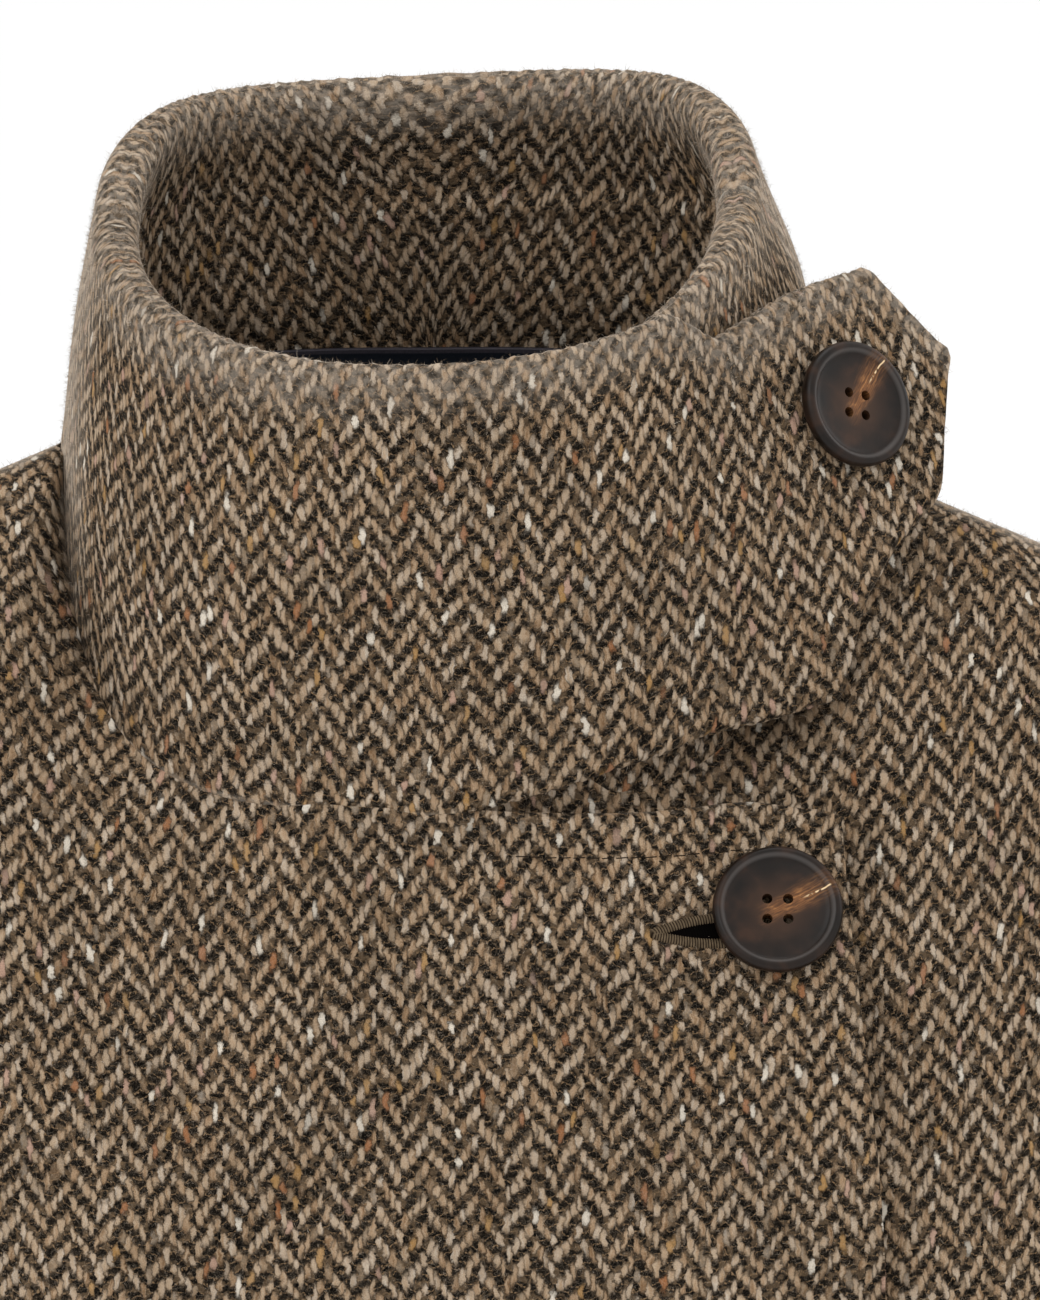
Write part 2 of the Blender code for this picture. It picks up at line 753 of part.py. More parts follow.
def main():
    for obj in list(bpy.data.objects):
        bpy.data.objects.remove(obj)
    coat = bpy.data.collections.new("high_neck_coat")
    cutters = bpy.data.collections.new("cutters")
    bpy.context.scene.collection.children.link(coat)
    bpy.context.scene.collection.children.link(cutters)

    tweed = make_material("tweed", TWEED)
    tweed_dark = make_material("tweed_under", TWEED_DARK)
    lining = make_material("lining", LINING)
    horn = make_material("horn", HORN)

    guide = left_front_surface()
    add_shell("back", back_rows(), CLOTH_WALL, tweed, coat)
    add_shell("front_left", left_front_rows(), CLOTH_WALL, tweed_dark, coat)
    front = add_shell("front_right", right_front_rows(guide), CLOTH_WALL, tweed, coat)
    for name, side in (("sleeve_left", 1), ("sleeve_right", -1)):
        add_shell(name, sleeve_rows(side), CLOTH_WALL, tweed, coat, closed=True)
    collar = add_collar(tweed, coat)
    add_shell("neck_lining", lining_rows(), LINING_WALL, lining, coat)

    button = make_button_mesh(cutters)
    front_tree = surface_tree(front.data)
    for number, height in enumerate(FRONT_BUTTON_HEIGHTS, 1):
        place, normal = seat_on_front(front_tree, FRONT_BUTTON_X, height)
        add_button(f"button_front_{number}", button, front_tree, place, normal, horn, coat)
    place = band_point(TAB_BUTTON_COURSE, TAB_BUTTON_SHARE)
    normal = band_normal(TAB_BUTTON_COURSE, TAB_BUTTON_SHARE)
    add_button("button_tab", button, surface_tree(collar.data), place, normal, horn, coat)


main()
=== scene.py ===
import math
from types import SimpleNamespace

import bmesh
import bpy
import numpy as np
from mathutils import Matrix, Vector
from mathutils.bvhtree import BVHTree


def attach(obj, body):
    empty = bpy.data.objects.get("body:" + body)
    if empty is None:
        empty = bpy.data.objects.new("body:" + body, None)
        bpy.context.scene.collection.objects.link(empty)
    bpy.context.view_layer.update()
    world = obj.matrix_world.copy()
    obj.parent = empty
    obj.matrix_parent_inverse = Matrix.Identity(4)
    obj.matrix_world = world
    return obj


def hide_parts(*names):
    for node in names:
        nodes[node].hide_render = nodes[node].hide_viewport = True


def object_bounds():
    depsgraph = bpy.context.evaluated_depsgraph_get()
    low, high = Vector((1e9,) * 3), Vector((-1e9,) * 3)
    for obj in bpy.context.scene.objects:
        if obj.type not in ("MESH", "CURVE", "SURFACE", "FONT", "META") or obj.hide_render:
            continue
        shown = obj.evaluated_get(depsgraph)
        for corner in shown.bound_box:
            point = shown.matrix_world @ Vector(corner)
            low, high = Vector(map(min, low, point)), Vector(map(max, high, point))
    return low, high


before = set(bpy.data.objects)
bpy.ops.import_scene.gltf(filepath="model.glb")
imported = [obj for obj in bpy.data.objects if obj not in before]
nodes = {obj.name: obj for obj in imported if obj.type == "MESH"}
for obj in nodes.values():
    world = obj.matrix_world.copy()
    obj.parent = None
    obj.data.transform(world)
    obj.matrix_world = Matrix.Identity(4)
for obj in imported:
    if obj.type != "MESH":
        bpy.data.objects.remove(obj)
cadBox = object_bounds()


# Small helpers on arrays of points, the last axis being x, y, z
def smooth(low, high, value):
    share = np.clip((np.asarray(value) - low) / (high - low), 0.0, 1.0)
    return share * share * (3.0 - 2.0 * share)


def blend(first, second, share):
    return first + (second - first) * np.asarray(share)[..., None]


def unit(vectors):
    return vectors / np.maximum(np.linalg.norm(vectors, axis=-1, keepdims=True), 1e-12)


def lengthOf(vectors):
    return np.linalg.norm(vectors, axis=-1)


def cubic(start, startPull, end, endPull, t):
    return (
        start * (2 * t**3 - 3 * t**2 + 1)
        + startPull * (t**3 - 2 * t**2 + t)
        + end * (3 * t**2 - 2 * t**3)
        + endPull * (t**3 - t**2)
    )


def hermite(start, startPull, end, endPull, share):
    return cubic(start, startPull, end, endPull, np.asarray(share)[..., None])


def spline(stations, values, station):
    stations, values = np.asarray(stations, float), np.asarray(values, float)
    station = np.asarray(station, float)
    last = len(stations) - 1
    index = np.clip(np.searchsorted(stations, station, side="left") - 1, 0, last - 1)
    before = np.maximum(np.arange(last + 1) - 1, 0)
    after = np.minimum(np.arange(last + 1) + 1, last)
    gap = stations[after] - stations[before]
    span = stations[index + 1] - stations[index]
    t = (station - stations[index]) / span
    if values.ndim > 1:
        gap, span, t = gap[:, None], span[..., None], t[..., None]
    slopes = (values[after] - values[before]) / gap
    return cubic(values[index], slopes[index] * span, values[index + 1], slopes[index + 1] * span, t)


def gridNormals(points):
    across = np.gradient(points, axis=1)
    along = np.gradient(points, axis=0)
    return unit(np.cross(across, along))


def roundOff(values, times):
    # evens out a run of values, with its two ends kept
    for _ in range(times):
        values[1:-1] = (values[:-2] + 2 * values[1:-1] + values[2:]) / 4
    return values


def closeToEnds(values, share=0.06):
    # one more row just inside each end, which keeps the turned edge crisp
    first = values[:1] + (values[1:2] - values[:1]) * share
    last = values[-1:] + (values[-2:-1] - values[-1:]) * share
    return np.concatenate([values[:1], first, values[1:-1], last, values[-1:]])


def crispEdges(values):
    # the same along all four sides of a panel
    return closeToEnds(closeToEnds(values).swapaxes(0, 1)).swapaxes(0, 1)


# Body: trunk sections from the hem to the underarm, then the yoke up to neck and shoulders
body = {
    # height, half width, depth in front, depth behind
    "trunk": [
        (-0.900, 0.262, 0.160, 0.162),
        (-0.620, 0.240, 0.150, 0.152),
        (-0.400, 0.212, 0.136, 0.136),
        (-0.225, 0.203, 0.130, 0.125),
    ],
    "squareness": 2.5,
    # bearing and half angle in degrees, depth, height where it starts
    "skirtFolds": [
        (38, 13, 0.007, -0.42),
        (74, 10, 0.005, -0.55),
        (128, 14, 0.009, -0.45),
        (172, 12, 0.006, -0.52),
        (221, 15, 0.008, -0.40),
        (284, 11, 0.006, -0.56),
        (327, 13, 0.006, -0.46),
    ],
    "neckHalfWidth": 0.087,
    "neckPointY": 0.005,
    "neckFrontDepth": 0.086,
    "neckBackDepth": 0.062,
    "neckFrontDrop": 0.066,
    "neckFrontCurve": 2.2,
    "neckBackRise": 0.012,
    "neckPointRise": 0.003,
    "neckShare": 6 / 13,
    "shoulderTip": (0.198, 0.012, -0.046),
    "frontNeckPull": (0.0, 0.055, 0.150),
    "backNeckPull": (0.0, -0.060, 0.150),
    "shoulderPull": 0.110,
    "shoulderTipPull": 0.250,
    "armholeLowPull": (-0.090, 0.330, 0.115),
    "armholePullFrom": 0.62,
    "tipPullFrom": 0.60,
    "neckPullTo": 0.12,
    "crowding": 1.4,
    "wall": 0.003,
    "trunkRows": 90,
    "yokeRows": 110,
}


def trunkPoint(share, height, side, back):
    share, height = np.broadcast_arrays(np.asarray(share, float), np.asarray(height, float))
    rows = np.array(body["trunk"])
    across = spline(rows[:, 0], rows[:, 1], height)
    depth = spline(rows[:, 0], rows[:, 3] if back else -rows[:, 2], height)
    angle = share * np.pi / 2
    x = side * across * np.clip(np.sin(angle), 0, 1) ** (2 / body["squareness"])
    y = depth * np.clip(np.cos(angle), 0, 1) ** (2 / body["squareness"])
    bearing = np.degrees(np.arctan2(x, -y)) % 360
    out = np.zeros_like(x)
    for middle, halfAngle, deep, top in body["skirtFolds"]:
        away = (bearing - middle + 180) % 360 - 180
        out += deep * smooth(top, rows[0, 0], height) * np.exp(-((away / halfAngle) ** 2))
    outward = unit(np.stack([x, y, np.zeros_like(x)], -1))
    return np.stack([x, y, height], -1) + outward * out[..., None]


def neckSeam(angle):
    angle = np.asarray(angle, float)
    cosine = np.cos(angle)
    ahead = cosine >= 0
    x = body["neckHalfWidth"] * np.sin(angle)
    depth = np.where(ahead, body["neckFrontDepth"], body["neckBackDepth"])
    y = body["neckPointY"] - depth * cosine
    frontTurn = 1 - np.clip(1 - cosine, 0, 2) ** body["neckFrontCurve"]
    backTurn = 1 - (1 + cosine) ** 2
    rise = body["neckPointRise"]
    front = rise + (-body["neckFrontDrop"] - rise) * frontTurn
    back = rise + (body["neckBackRise"] - rise) * backTurn
    return np.stack([x, y, np.where(ahead, front, back)], -1)


def yokeTop(share, side, back):
    share = np.asarray(share, float)
    turn = np.clip(share / body["neckShare"], 0, 1) * np.pi / 2
    neck = neckSeam(np.pi - turn if back else turn)
    run = np.clip((share - body["neckShare"]) / (1 - body["neckShare"]), 0, 1)
    shoulder = blend(neckSeam(np.pi / 2), np.array(body["shoulderTip"]), run)
    point = np.where((share < body["neckShare"])[..., None], neck, shoulder)
    return point * np.array([side, 1, 1])


def yokePoint(share, rise, side, back):
    share, rise = np.broadcast_arrays(np.asarray(share, float), np.asarray(rise, float))
    facing = -1 if back else 1
    level = body["trunk"][-1][0]
    start = trunkPoint(share, level, side, back)
    end = yokeTop(share, side, back)
    below = trunkPoint(share, level - 0.02, side, back)
    upward = unit(start - below) * lengthOf(end - start)[..., None]
    armhole = np.array(body["armholeLowPull"]) * np.array([side, -facing, 1])
    startPull = blend(upward, armhole, smooth(body["armholePullFrom"], 1.0, share))
    neckPull = np.array(body["backNeckPull"] if back else body["frontNeckPull"])
    tip = smooth(body["tipPullFrom"], 1.0, share)
    pull = body["shoulderPull"] + (body["shoulderTipPull"] - body["shoulderPull"]) * tip
    overShoulder = np.stack([np.zeros_like(pull), facing * pull, np.zeros_like(pull)], -1)
    endPull = blend(neckPull, overShoulder, smooth(body["neckPullTo"], body["neckShare"], share))
    return hermite(start, startPull, end, endPull, rise)


def yokeRise(step):
    return 1 - (1 - np.asarray(step, float)) ** body["crowding"]


def panelLevels():
    # 0 to 1 is the trunk from hem to underarm, 1 to 2 the yoke from underarm to its top seam
    trunk = np.linspace(0, 1, body["trunkRows"] + 1)
    yoke = 1 + np.linspace(0, 1, body["yokeRows"] + 1)[1:]
    return np.concatenate([trunk, yoke])


def panelPoints(levels, shares, side, back):
    levels, shares = np.broadcast_arrays(levels, shares)
    low, high = body["trunk"][0][0], body["trunk"][-1][0]
    trunk = trunkPoint(shares, low + (high - low) * np.clip(levels, 0, 1), side, back)
    rise = yokeRise(np.clip(levels - 1, 0, 1))
    yoke = yokePoint(shares, rise, side, back)
    return np.where((levels <= 1)[..., None], trunk, yoke)


def panelFlat(points, centre, yokeFrom):
    # the flat cut: u along the level rows from the centre column, v up the cloth
    step = lengthOf(np.diff(points, axis=1))
    run = np.concatenate([np.zeros((len(points), 1)), np.cumsum(step, axis=1)], axis=1)
    u = run - run[:, centre : centre + 1]
    x, reference = points[yokeFrom, :, 0], u[yokeFrom]
    order = np.argsort(x)
    u[yokeFrom:] = np.interp(points[yokeFrom:, :, 0], x[order], reference[order])
    rise = np.diff(points, axis=0)[..., 1:]
    v = np.concatenate([np.zeros((1, points.shape[1])), np.cumsum(lengthOf(rise), axis=0)])
    return np.stack([u, v], -1)


def settleFlat(points, flat, fixedRows, times):
    # lets the flat cut relax until the threads across, along and askew keep their real lengths
    spans = [
        ((slice(None), slice(None, -1)), (slice(None), slice(1, None))),
        ((slice(None, -1), slice(None)), (slice(1, None), slice(None))),
        ((slice(None, -1), slice(None, -1)), (slice(1, None), slice(1, None))),
        ((slice(None, -1), slice(1, None)), (slice(1, None), slice(None, -1))),
    ]
    real = [lengthOf(points[second] - points[first]) for first, second in spans]
    for _ in range(times):
        push = np.zeros_like(flat)
        for (first, second), length in zip(spans, real):
            way = flat[second] - flat[first]
            pull = way * ((1 - length / np.maximum(lengthOf(way), 1e-9)) / 8)[..., None]
            push[first] += pull
            push[second] -= pull
        flat[fixedRows:] += push[fixedRows:]
    return flat


# Creases: each row is a line on the flat cut, u and v of both ends, then depth and half width
crease = {"wave": 0.18, "waves": 7.0, "phase": 40.0, "fadeIn": (-0.12, 0.35), "fadeOut": (0.6, 1.12)}


def pressCreases(points, flat, creases):
    normals = gridNormals(points)
    lift = np.zeros(points.shape[:2])
    for u0, v0, u1, v1, deep, half in creases:
        along = np.array([u1 - u0, v1 - v0])
        span = np.linalg.norm(along)
        along = along / span
        away = flat - np.array([u0, v0])
        t = away @ along / span
        off = away @ np.array([-along[1], along[0]])
        off = off + crease["wave"] * half * np.sin(crease["waves"] * t + crease["phase"] * u0)
        taper = smooth(*crease["fadeIn"], t) * (1 - smooth(*crease["fadeOut"], t))
        lift += deep * taper * np.exp(-((off / half) ** 2))
    return points + normals * lift[..., None]


def meshFrom(name, bm):
    mesh = bpy.data.meshes.new(name)
    bm.to_mesh(mesh)
    bm.free()
    return mesh


def addObject(name, data):
    item = bpy.data.objects.new(name, data)
    bpy.context.scene.collection.objects.link(item)
    return item


def treeOf(mesh):
    return BVHTree.FromPolygons([v.co for v in mesh.vertices], [p.vertices for p in mesh.polygons])


def makeMesh(name, points, flat, edgeMark=None, closed=False, capped=False):
    rows, columns = points.shape[:2]
    bm = bmesh.new()
    bmesh.ops.create_grid(bm, x_segments=columns - 1, y_segments=rows - 1, size=1.0)
    mesh = meshFrom(name, bm)
    mesh.vertices.foreach_set("co", points.astype(np.float32).reshape(-1))
    corner = np.empty(len(mesh.loops), np.int32)
    mesh.loops.foreach_get("vertex_index", corner)
    layer = mesh.uv_layers.new(name="weave")
    layer.data.foreach_set("uv", flat.reshape(-1, 2)[corner].astype(np.float32).reshape(-1))
    edge = mesh.attributes.new("edgeMark", "FLOAT", "POINT")
    edgeMark = np.zeros((rows, columns)) if edgeMark is None else edgeMark
    edge.data.foreach_set("value", edgeMark.astype(np.float32).reshape(-1))
    if closed or capped:
        bm = bmesh.new()
        bm.from_mesh(mesh)
        bmesh.ops.remove_doubles(bm, verts=bm.verts, dist=1e-6)
        if capped:
            bmesh.ops.holes_fill(bm, edges=[e for e in bm.edges if e.is_boundary], sides=0)
            bmesh.ops.recalc_face_normals(bm, faces=bm.faces)
        bm.to_mesh(mesh)
        bm.free()
    mesh.shade_smooth()
    return mesh


def addPiece(name, mesh, material, replaced=(), wall=0.0):
    mesh.materials.clear()
    mesh.materials.append(material)
    piece = addObject(name, mesh)
    if wall:
        thick = piece.modifiers.new("wall", "SOLIDIFY")
        thick.thickness = wall
        thick.offset = -1.0
    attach(piece, "root")
    if replaced:
        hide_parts(*replaced)
    return piece


# Node helpers
def nodeKit(tree):
    def put(kind, **values):
        node = tree.nodes.new(kind)
        for key, value in values.items():
            setattr(node, key, value)
        return node

    def feed(socket, value):
        if isinstance(value, bpy.types.NodeSocket):
            tree.links.new(value, socket)
        else:
            socket.default_value = value

    def fill(node, values):
        for socket, value in zip(node.inputs, values):
            feed(socket, value)
        return node.outputs[0]

    def calc(operation, *values):
        return fill(put("ShaderNodeMath", operation=operation), values)

    def vector(operation, *values):
        return fill(put("ShaderNodeVectorMath", operation=operation), values)

    def mix(share, first, second, mode="MIX"):
        node = put("ShaderNodeMix", data_type="RGBA", blend_type=mode)
        feed(node.inputs[0], share)
        feed(node.inputs[6], first)
        feed(node.inputs[7], second)
        return node.outputs[2]

    def noise(place, scale, detail=0.0, kind="Fac"):
        node = put("ShaderNodeTexNoise", noise_dimensions="2D")
        feed(node.inputs["Vector"], place)
        feed(node.inputs["Scale"], scale)
        feed(node.inputs["Detail"], detail)
        return node.outputs[kind]

    def dice(place, kind="Value"):
        node = put("ShaderNodeTexWhiteNoise", noise_dimensions="2D")
        feed(node.inputs["Vector"], place)
        return node.outputs[kind]

    def between(low, high, value, start=0.0, end=1.0):
        node = put("ShaderNodeMapRange", interpolation_type="SMOOTHSTEP")
        return fill(node, (value, low, high, start, end))

    def patches(place, row):
        # row: noise scale, detail, the noise it starts and ends at, and what it gives there
        scale, detail, low, high, start, end = row
        return between(low, high, noise(place, scale, detail), start, end)

    def ramp(value, stops):
        node = put("ShaderNodeValToRGB")
        band = node.color_ramp.elements
        while len(band) < len(stops):
            band.new(0.5)
        for element, (place, colour) in zip(band, stops):
            element.position = place
            element.color = colour
        feed(node.inputs[0], value)
        return node.outputs[0]

    def split(place):
        node = put("ShaderNodeSeparateXYZ")
        feed(node.inputs[0], place)
        return node.outputs

    def join(x, y, z=0.0):
        return fill(put("ShaderNodeCombineXYZ"), (x, y, z))

    return SimpleNamespace(
        put=put, feed=feed, calc=calc, vector=vector, mix=mix, noise=noise,
        dice=dice, between=between, patches=patches, ramp=ramp, split=split, join=join,
    )


def tone(red, green, blue):
    # a shade given as it looks on screen, 0 to 255
    shades = []
    for value in (red, green, blue):
        value = value / 255
        shades.append(value / 12.92 if value <= 0.04045 else ((value + 0.055) / 1.055) ** 2.4)
    return (*shades, 1.0)


# Tweed: two-and-two herringbone, light warp floats over a dark weft
weave = {
    "warp": 0.00147,
    "weft": 0.00170,
    "lean": 0.16,
    # how the yarns stray: noise scale, then reach in yarns
    "wander": [
        (95.0, (1.1, 0.8, 0.0)),
        (330.0, (0.9, 1.2, 0.0)),
        (900.0, (0.55, 0.60, 0.0)),
        (2600.0, (0.30, 0.34, 0.0)),
    ],
    "floatHalf": (0.635, 0.60),
    "floatWider": (0.40, 0.80),  # how much one float's size varies, and the least
    "floatLonger": (0.44, 0.78),
    "sunk": (0.16, 0.45),  # share of floats that lie lower, and how much of them shows
    # painted shade towards each float's edge: where it starts and ends on the oval, and how strong at most
    "floatFade": (1.55, 0.60),
    "floatShadeFade": (0.05, 1.05, 0.84),
    "strandStretch": (1.0, 0.16, 1.0),
    "strandScale": 2.6,
    "tans": [
        (0.00, tone(112, 86, 61)),
        (0.25, tone(146, 121, 95)),
        (0.50, tone(159, 138, 114)),
        (0.75, tone(165, 147, 127)),
        (1.00, tone(177, 164, 148)),
    ],
    "darks": [
        (0.00, tone(3, 2, 1)),
        (0.40, tone(9, 7, 5)),
        (0.65, tone(17, 14, 10)),
        (0.85, tone(34, 28, 21)),
        (1.00, tone(70, 58, 46)),
    ],
    # colour of the painted shade at the float edges
    "floatEdgeShade": tone(30, 22, 15),
    "weftEdge": tone(126, 102, 76),
    "coolWeft": tone(13, 14, 13),
    "stray": tone(112, 92, 70),
    "coolPatches": (240.0, 1.0, 0.45, 0.75, 0.0, 0.5),
    "strayPatches": (430.0, 1.0, 0.53, 0.68, 0.0, 0.42),
    "napPatches": (170.0, 2.0, 0.30, 0.75, 0.0, 0.05),
    "fibreShade": (4300.0, 1.0, 0.2, 0.8, 0.80, 1.20),
    "slowShade": (32.0, 2.0, 0.25, 0.75, 0.90, 1.08),
    # wool, the draw above which it shows, colour
    "flecks": [
        ("white", 0.978, tone(206, 198, 184)),
        ("rust", 0.986, tone(134, 84, 50)),
        ("ochre", 0.984, tone(148, 112, 64)),
        ("pink", 0.980, tone(164, 132, 116)),
    ],
    "fleckShare": 0.78,
    "hairs": [(520.0, 0.012, 0.34), (1250.0, 0.016, 0.20)],  # noise scale, thinness, strength
    "hair": tone(168, 152, 134),
    "nap": tone(104, 90, 75),
}


def makeWeave():
    tree = bpy.data.node_groups.new("herringbone", "ShaderNodeTree")
    tree.interface.new_socket("Vector", in_out="INPUT", socket_type="NodeSocketVector")
    tree.interface.new_socket("Colour", in_out="OUTPUT", socket_type="NodeSocketColor")
    tree.interface.new_socket("Height", in_out="OUTPUT", socket_type="NodeSocketFloat")
    kit = nodeKit(tree)
    place = kit.put("NodeGroupInput").outputs[0]
    yarns = kit.vector("DIVIDE", place, (weave["warp"], weave["weft"], 1.0))
    for scale, reach in weave["wander"]:
        drift = kit.vector("SUBTRACT", kit.noise(place, scale, 1.0, "Color"), (0.5, 0.5, 0.0))
        yarns = kit.vector("ADD", yarns, kit.vector("MULTIPLY", drift, reach))
    u, v, _ = kit.split(yarns)

    # which warp, and how far its floats are shifted along the chart of eight
    warp = kit.calc("FLOOR", u)
    across = kit.calc("SUBTRACT", kit.calc("SUBTRACT", u, warp), 0.5)
    turn = kit.calc("FLOORED_MODULO", warp, 8.0)
    rising = kit.calc("GREATER_THAN", turn, 3.5)
    backward = kit.calc("FLOORED_MODULO", kit.calc("SUBTRACT", 5.0, turn), 4.0)
    shift = kit.calc("MULTIPLY_ADD", rising, kit.calc("SUBTRACT", backward, turn), turn)
    count = kit.calc("MULTIPLY_ADD", kit.calc("ADD", v, shift), 0.25, 0.25)
    cell = kit.calc("FLOOR", count)
    along = kit.calc("MULTIPLY", kit.calc("SUBTRACT", kit.calc("SUBTRACT", count, cell), 0.5), 2.0)
    # a weft float passes over two warps: above a warp's float it starts, below one it ends
    way = kit.calc("MULTIPLY_ADD", rising, 2.0, -1.0)
    half = kit.calc("MULTIPLY", kit.calc("MULTIPLY", kit.calc("SIGN", along), way), 0.5)
    weftWide = kit.calc("POWER", kit.calc("ABSOLUTE", kit.calc("ADD", across, half)), 2.0)
    weftRow = kit.calc("SUBTRACT", kit.calc("FRACT", v), 0.5)
    weftTall = kit.calc("POWER", kit.calc("ABSOLUTE", kit.calc("MULTIPLY", weftRow, 2.0)), 2.0)
    weftOval = kit.calc("ADD", weftWide, weftTall)
    lean = kit.calc("MULTIPLY", way, weave["lean"])
    across = kit.calc("SUBTRACT", across, kit.calc("MULTIPLY", lean, along))

    # one float is a soft oval, two wefts long, each of its own size
    number = kit.join(kit.calc("ADD", warp, 0.37), kit.calc("ADD", cell, 0.61))
    wider, longer, sunk = kit.split(kit.dice(kit.vector("ADD", number, (11.0, 5.0, 0.0)), "Color"))
    wider = kit.calc("MULTIPLY_ADD", wider, *weave["floatWider"])
    halfWide = kit.calc("MULTIPLY", wider, weave["floatHalf"][0])
    longer = kit.calc("MULTIPLY_ADD", longer, *weave["floatLonger"])
    halfLong = kit.calc("MULTIPLY", longer, weave["floatHalf"][1])
    wide = kit.calc("POWER", kit.calc("ABSOLUTE", kit.calc("DIVIDE", across, halfWide)), 2.0)
    tall = kit.calc("POWER", kit.calc("ABSOLUTE", kit.calc("DIVIDE", along, halfLong)), 2.0)
    oval = kit.calc("ADD", wide, tall)
    raised = kit.between(*weave["floatFade"], oval)
    few, least = weave["sunk"]
    raised = kit.calc("MULTIPLY", raised, kit.between(0.0, few, sunk, least, 1.0))

    # its own shade, with strands along it and a few flecks of other wool, then painted shade towards its
    # edges
    red, green, _ = kit.split(kit.dice(number, "Color"))
    strands = kit.noise(kit.vector("MULTIPLY", yarns, weave["strandStretch"]), weave["strandScale"], 2.0)
    shade = kit.calc("MULTIPLY_ADD", strands, 0.95, kit.calc("MULTIPLY_ADD", red, 0.62, -0.30))
    light = kit.ramp(shade, weave["tans"])
    for index, (_, rare, colour) in enumerate(weave["flecks"]):
        luck = kit.dice(kit.vector("ADD", number, (31.0 * index, 17.0, 0.0)))
        share = kit.calc("MULTIPLY", kit.calc("GREATER_THAN", luck, rare), weave["fleckShare"])
        light = kit.mix(share, light, colour)
    # painted shade: each float darkens towards its edges, as a round yarn does under light
    inner, outer, most = weave["floatShadeFade"]
    light = kit.mix(kit.between(inner, outer, oval, 0.0, most), light, weave["floatEdgeShade"])
    grain = kit.noise(place, 1500.0, 2.0)
    dark = kit.ramp(kit.calc("MULTIPLY_ADD", grain, 1.7, -0.40), weave["darks"])
    cool = kit.patches(place, weave["coolPatches"])
    dark = kit.mix(kit.calc("MULTIPLY", cool, green), dark, weave["coolWeft"])
    gap = kit.between(0.80, 1.40, weftOval, 0.0, 0.85)
    dark = kit.mix(kit.calc("MULTIPLY", gap, kit.between(0.20, 0.55, grain)), dark, weave["weftEdge"])
    dark = kit.mix(kit.patches(place, weave["strayPatches"]), dark, weave["stray"])
    colour = kit.mix(raised, dark, light)

    # loose hairs over both, then nap that veils the weave here and there
    for scale, thin, share in weave["hairs"]:
        curl = kit.calc("ABSOLUTE", kit.calc("SUBTRACT", kit.noise(place, scale, 2.0), 0.5))
        hair = kit.calc("MULTIPLY", kit.between(thin, 0.0, curl), share)
        colour = kit.mix(hair, colour, weave["hair"])
    colour = kit.mix(kit.patches(place, weave["napPatches"]), colour, weave["nap"])
    fibre = kit.patches(place, weave["fibreShade"])
    grey = kit.calc("MULTIPLY", fibre, kit.patches(place, weave["slowShade"]))
    colour = kit.mix(1.0, colour, kit.join(grey, grey, grey), "MULTIPLY")

    weftCrown = kit.calc("COSINE", kit.calc("MULTIPLY", v, 2 * math.pi))
    weftHigh = kit.calc("MULTIPLY_ADD", weftCrown, -0.12, 0.30)
    crown = kit.calc("MULTIPLY_ADD", oval, -0.42, 1.0)
    height = kit.calc("MULTIPLY", raised, crown)
    height = kit.calc("MAXIMUM", height, weftHigh)
    height = kit.calc("MULTIPLY_ADD", strands, 0.35, height)
    height = kit.calc("MULTIPLY_ADD", grain, 0.35, height)
    out = kit.put("NodeGroupOutput")
    kit.feed(out.inputs[0], colour)
    kit.feed(out.inputs[1], height)
    return tree


def newMaterial(name):
    material = bpy.data.materials.new(name)
    material.use_nodes = True
    kit = nodeKit(material.node_tree)
    return material, kit, material.node_tree.nodes["Principled BSDF"]


# Wool fuzz: painted sheen, pale where the cloth is seen at a flat angle, and pale patches along the marked
# edges
fuzz = {
    "grazeFrom": 0.57,
    "grazeTo": 0.97,
    "grazeMost": 0.80,
    "grazePatches": (520.0, 2.0, 0.30, 0.70, 0.42, 1.0),
    "palePatches": (420.0, 2.0, 0.35, 0.65, 0.06, 0.30),
    "colour": tone(188, 174, 158),
    "sheen": tone(226, 210, 190),
}


def tweedMaterial(name, tree):
    material, kit, shader = newMaterial(name)
    place = kit.put("ShaderNodeUVMap", uv_map="weave").outputs[0]
    cloth = kit.put("ShaderNodeGroup", node_tree=tree)
    kit.feed(cloth.inputs[0], place)
    edgeMark = kit.put("ShaderNodeAttribute", attribute_name="edgeMark").outputs["Fac"]
    # painted sheen: pale fuzz colour where the cloth is seen at a flat angle, in patches, kept off where
    # the edge mark is negative
    facing = kit.put("ShaderNodeLayerWeight")
    facing.inputs["Blend"].default_value = 0.5
    patchy = kit.patches(place, fuzz["grazePatches"])
    aslant = facing.outputs["Facing"]
    paintedSheen = kit.between(fuzz["grazeFrom"], fuzz["grazeTo"], aslant, 0.0, fuzz["grazeMost"])
    paintedSheen = kit.calc("MULTIPLY", paintedSheen, patchy)
    paintedSheen = kit.calc("MULTIPLY", paintedSheen, kit.between(-1.0, 0.0, edgeMark))
    # pale patches where the edge mark is positive (collar rim, its borders, the sewn hem), partly wear and
    # partly painted sheen of nap seen at a flat angle
    edgePale = kit.calc("MULTIPLY", edgeMark, kit.patches(place, fuzz["palePatches"]))
    # the paler of the painted sheen and the edge patches is mixed into the weave colour
    pale = kit.calc("MAXIMUM", paintedSheen, edgePale)
    colour = kit.mix(pale, cloth.outputs["Colour"], fuzz["colour"])
    kit.feed(shader.inputs["Base Color"], colour)
    shader.inputs["Roughness"].default_value = 0.93
    shader.inputs["Specular IOR Level"].default_value = 0.03
    shader.inputs["Sheen Weight"].default_value = 0.03
    shader.inputs["Sheen Roughness"].default_value = 0.5
    shader.inputs["Sheen Tint"].default_value = fuzz["sheen"]
    bump = kit.put("ShaderNodeBump")
    bump.inputs["Strength"].default_value = 0.85
    bump.inputs["Distance"].default_value = 0.0006
    kit.feed(bump.inputs["Height"], cloth.outputs["Height"])
    kit.feed(shader.inputs["Normal"], bump.outputs[0])
    return material


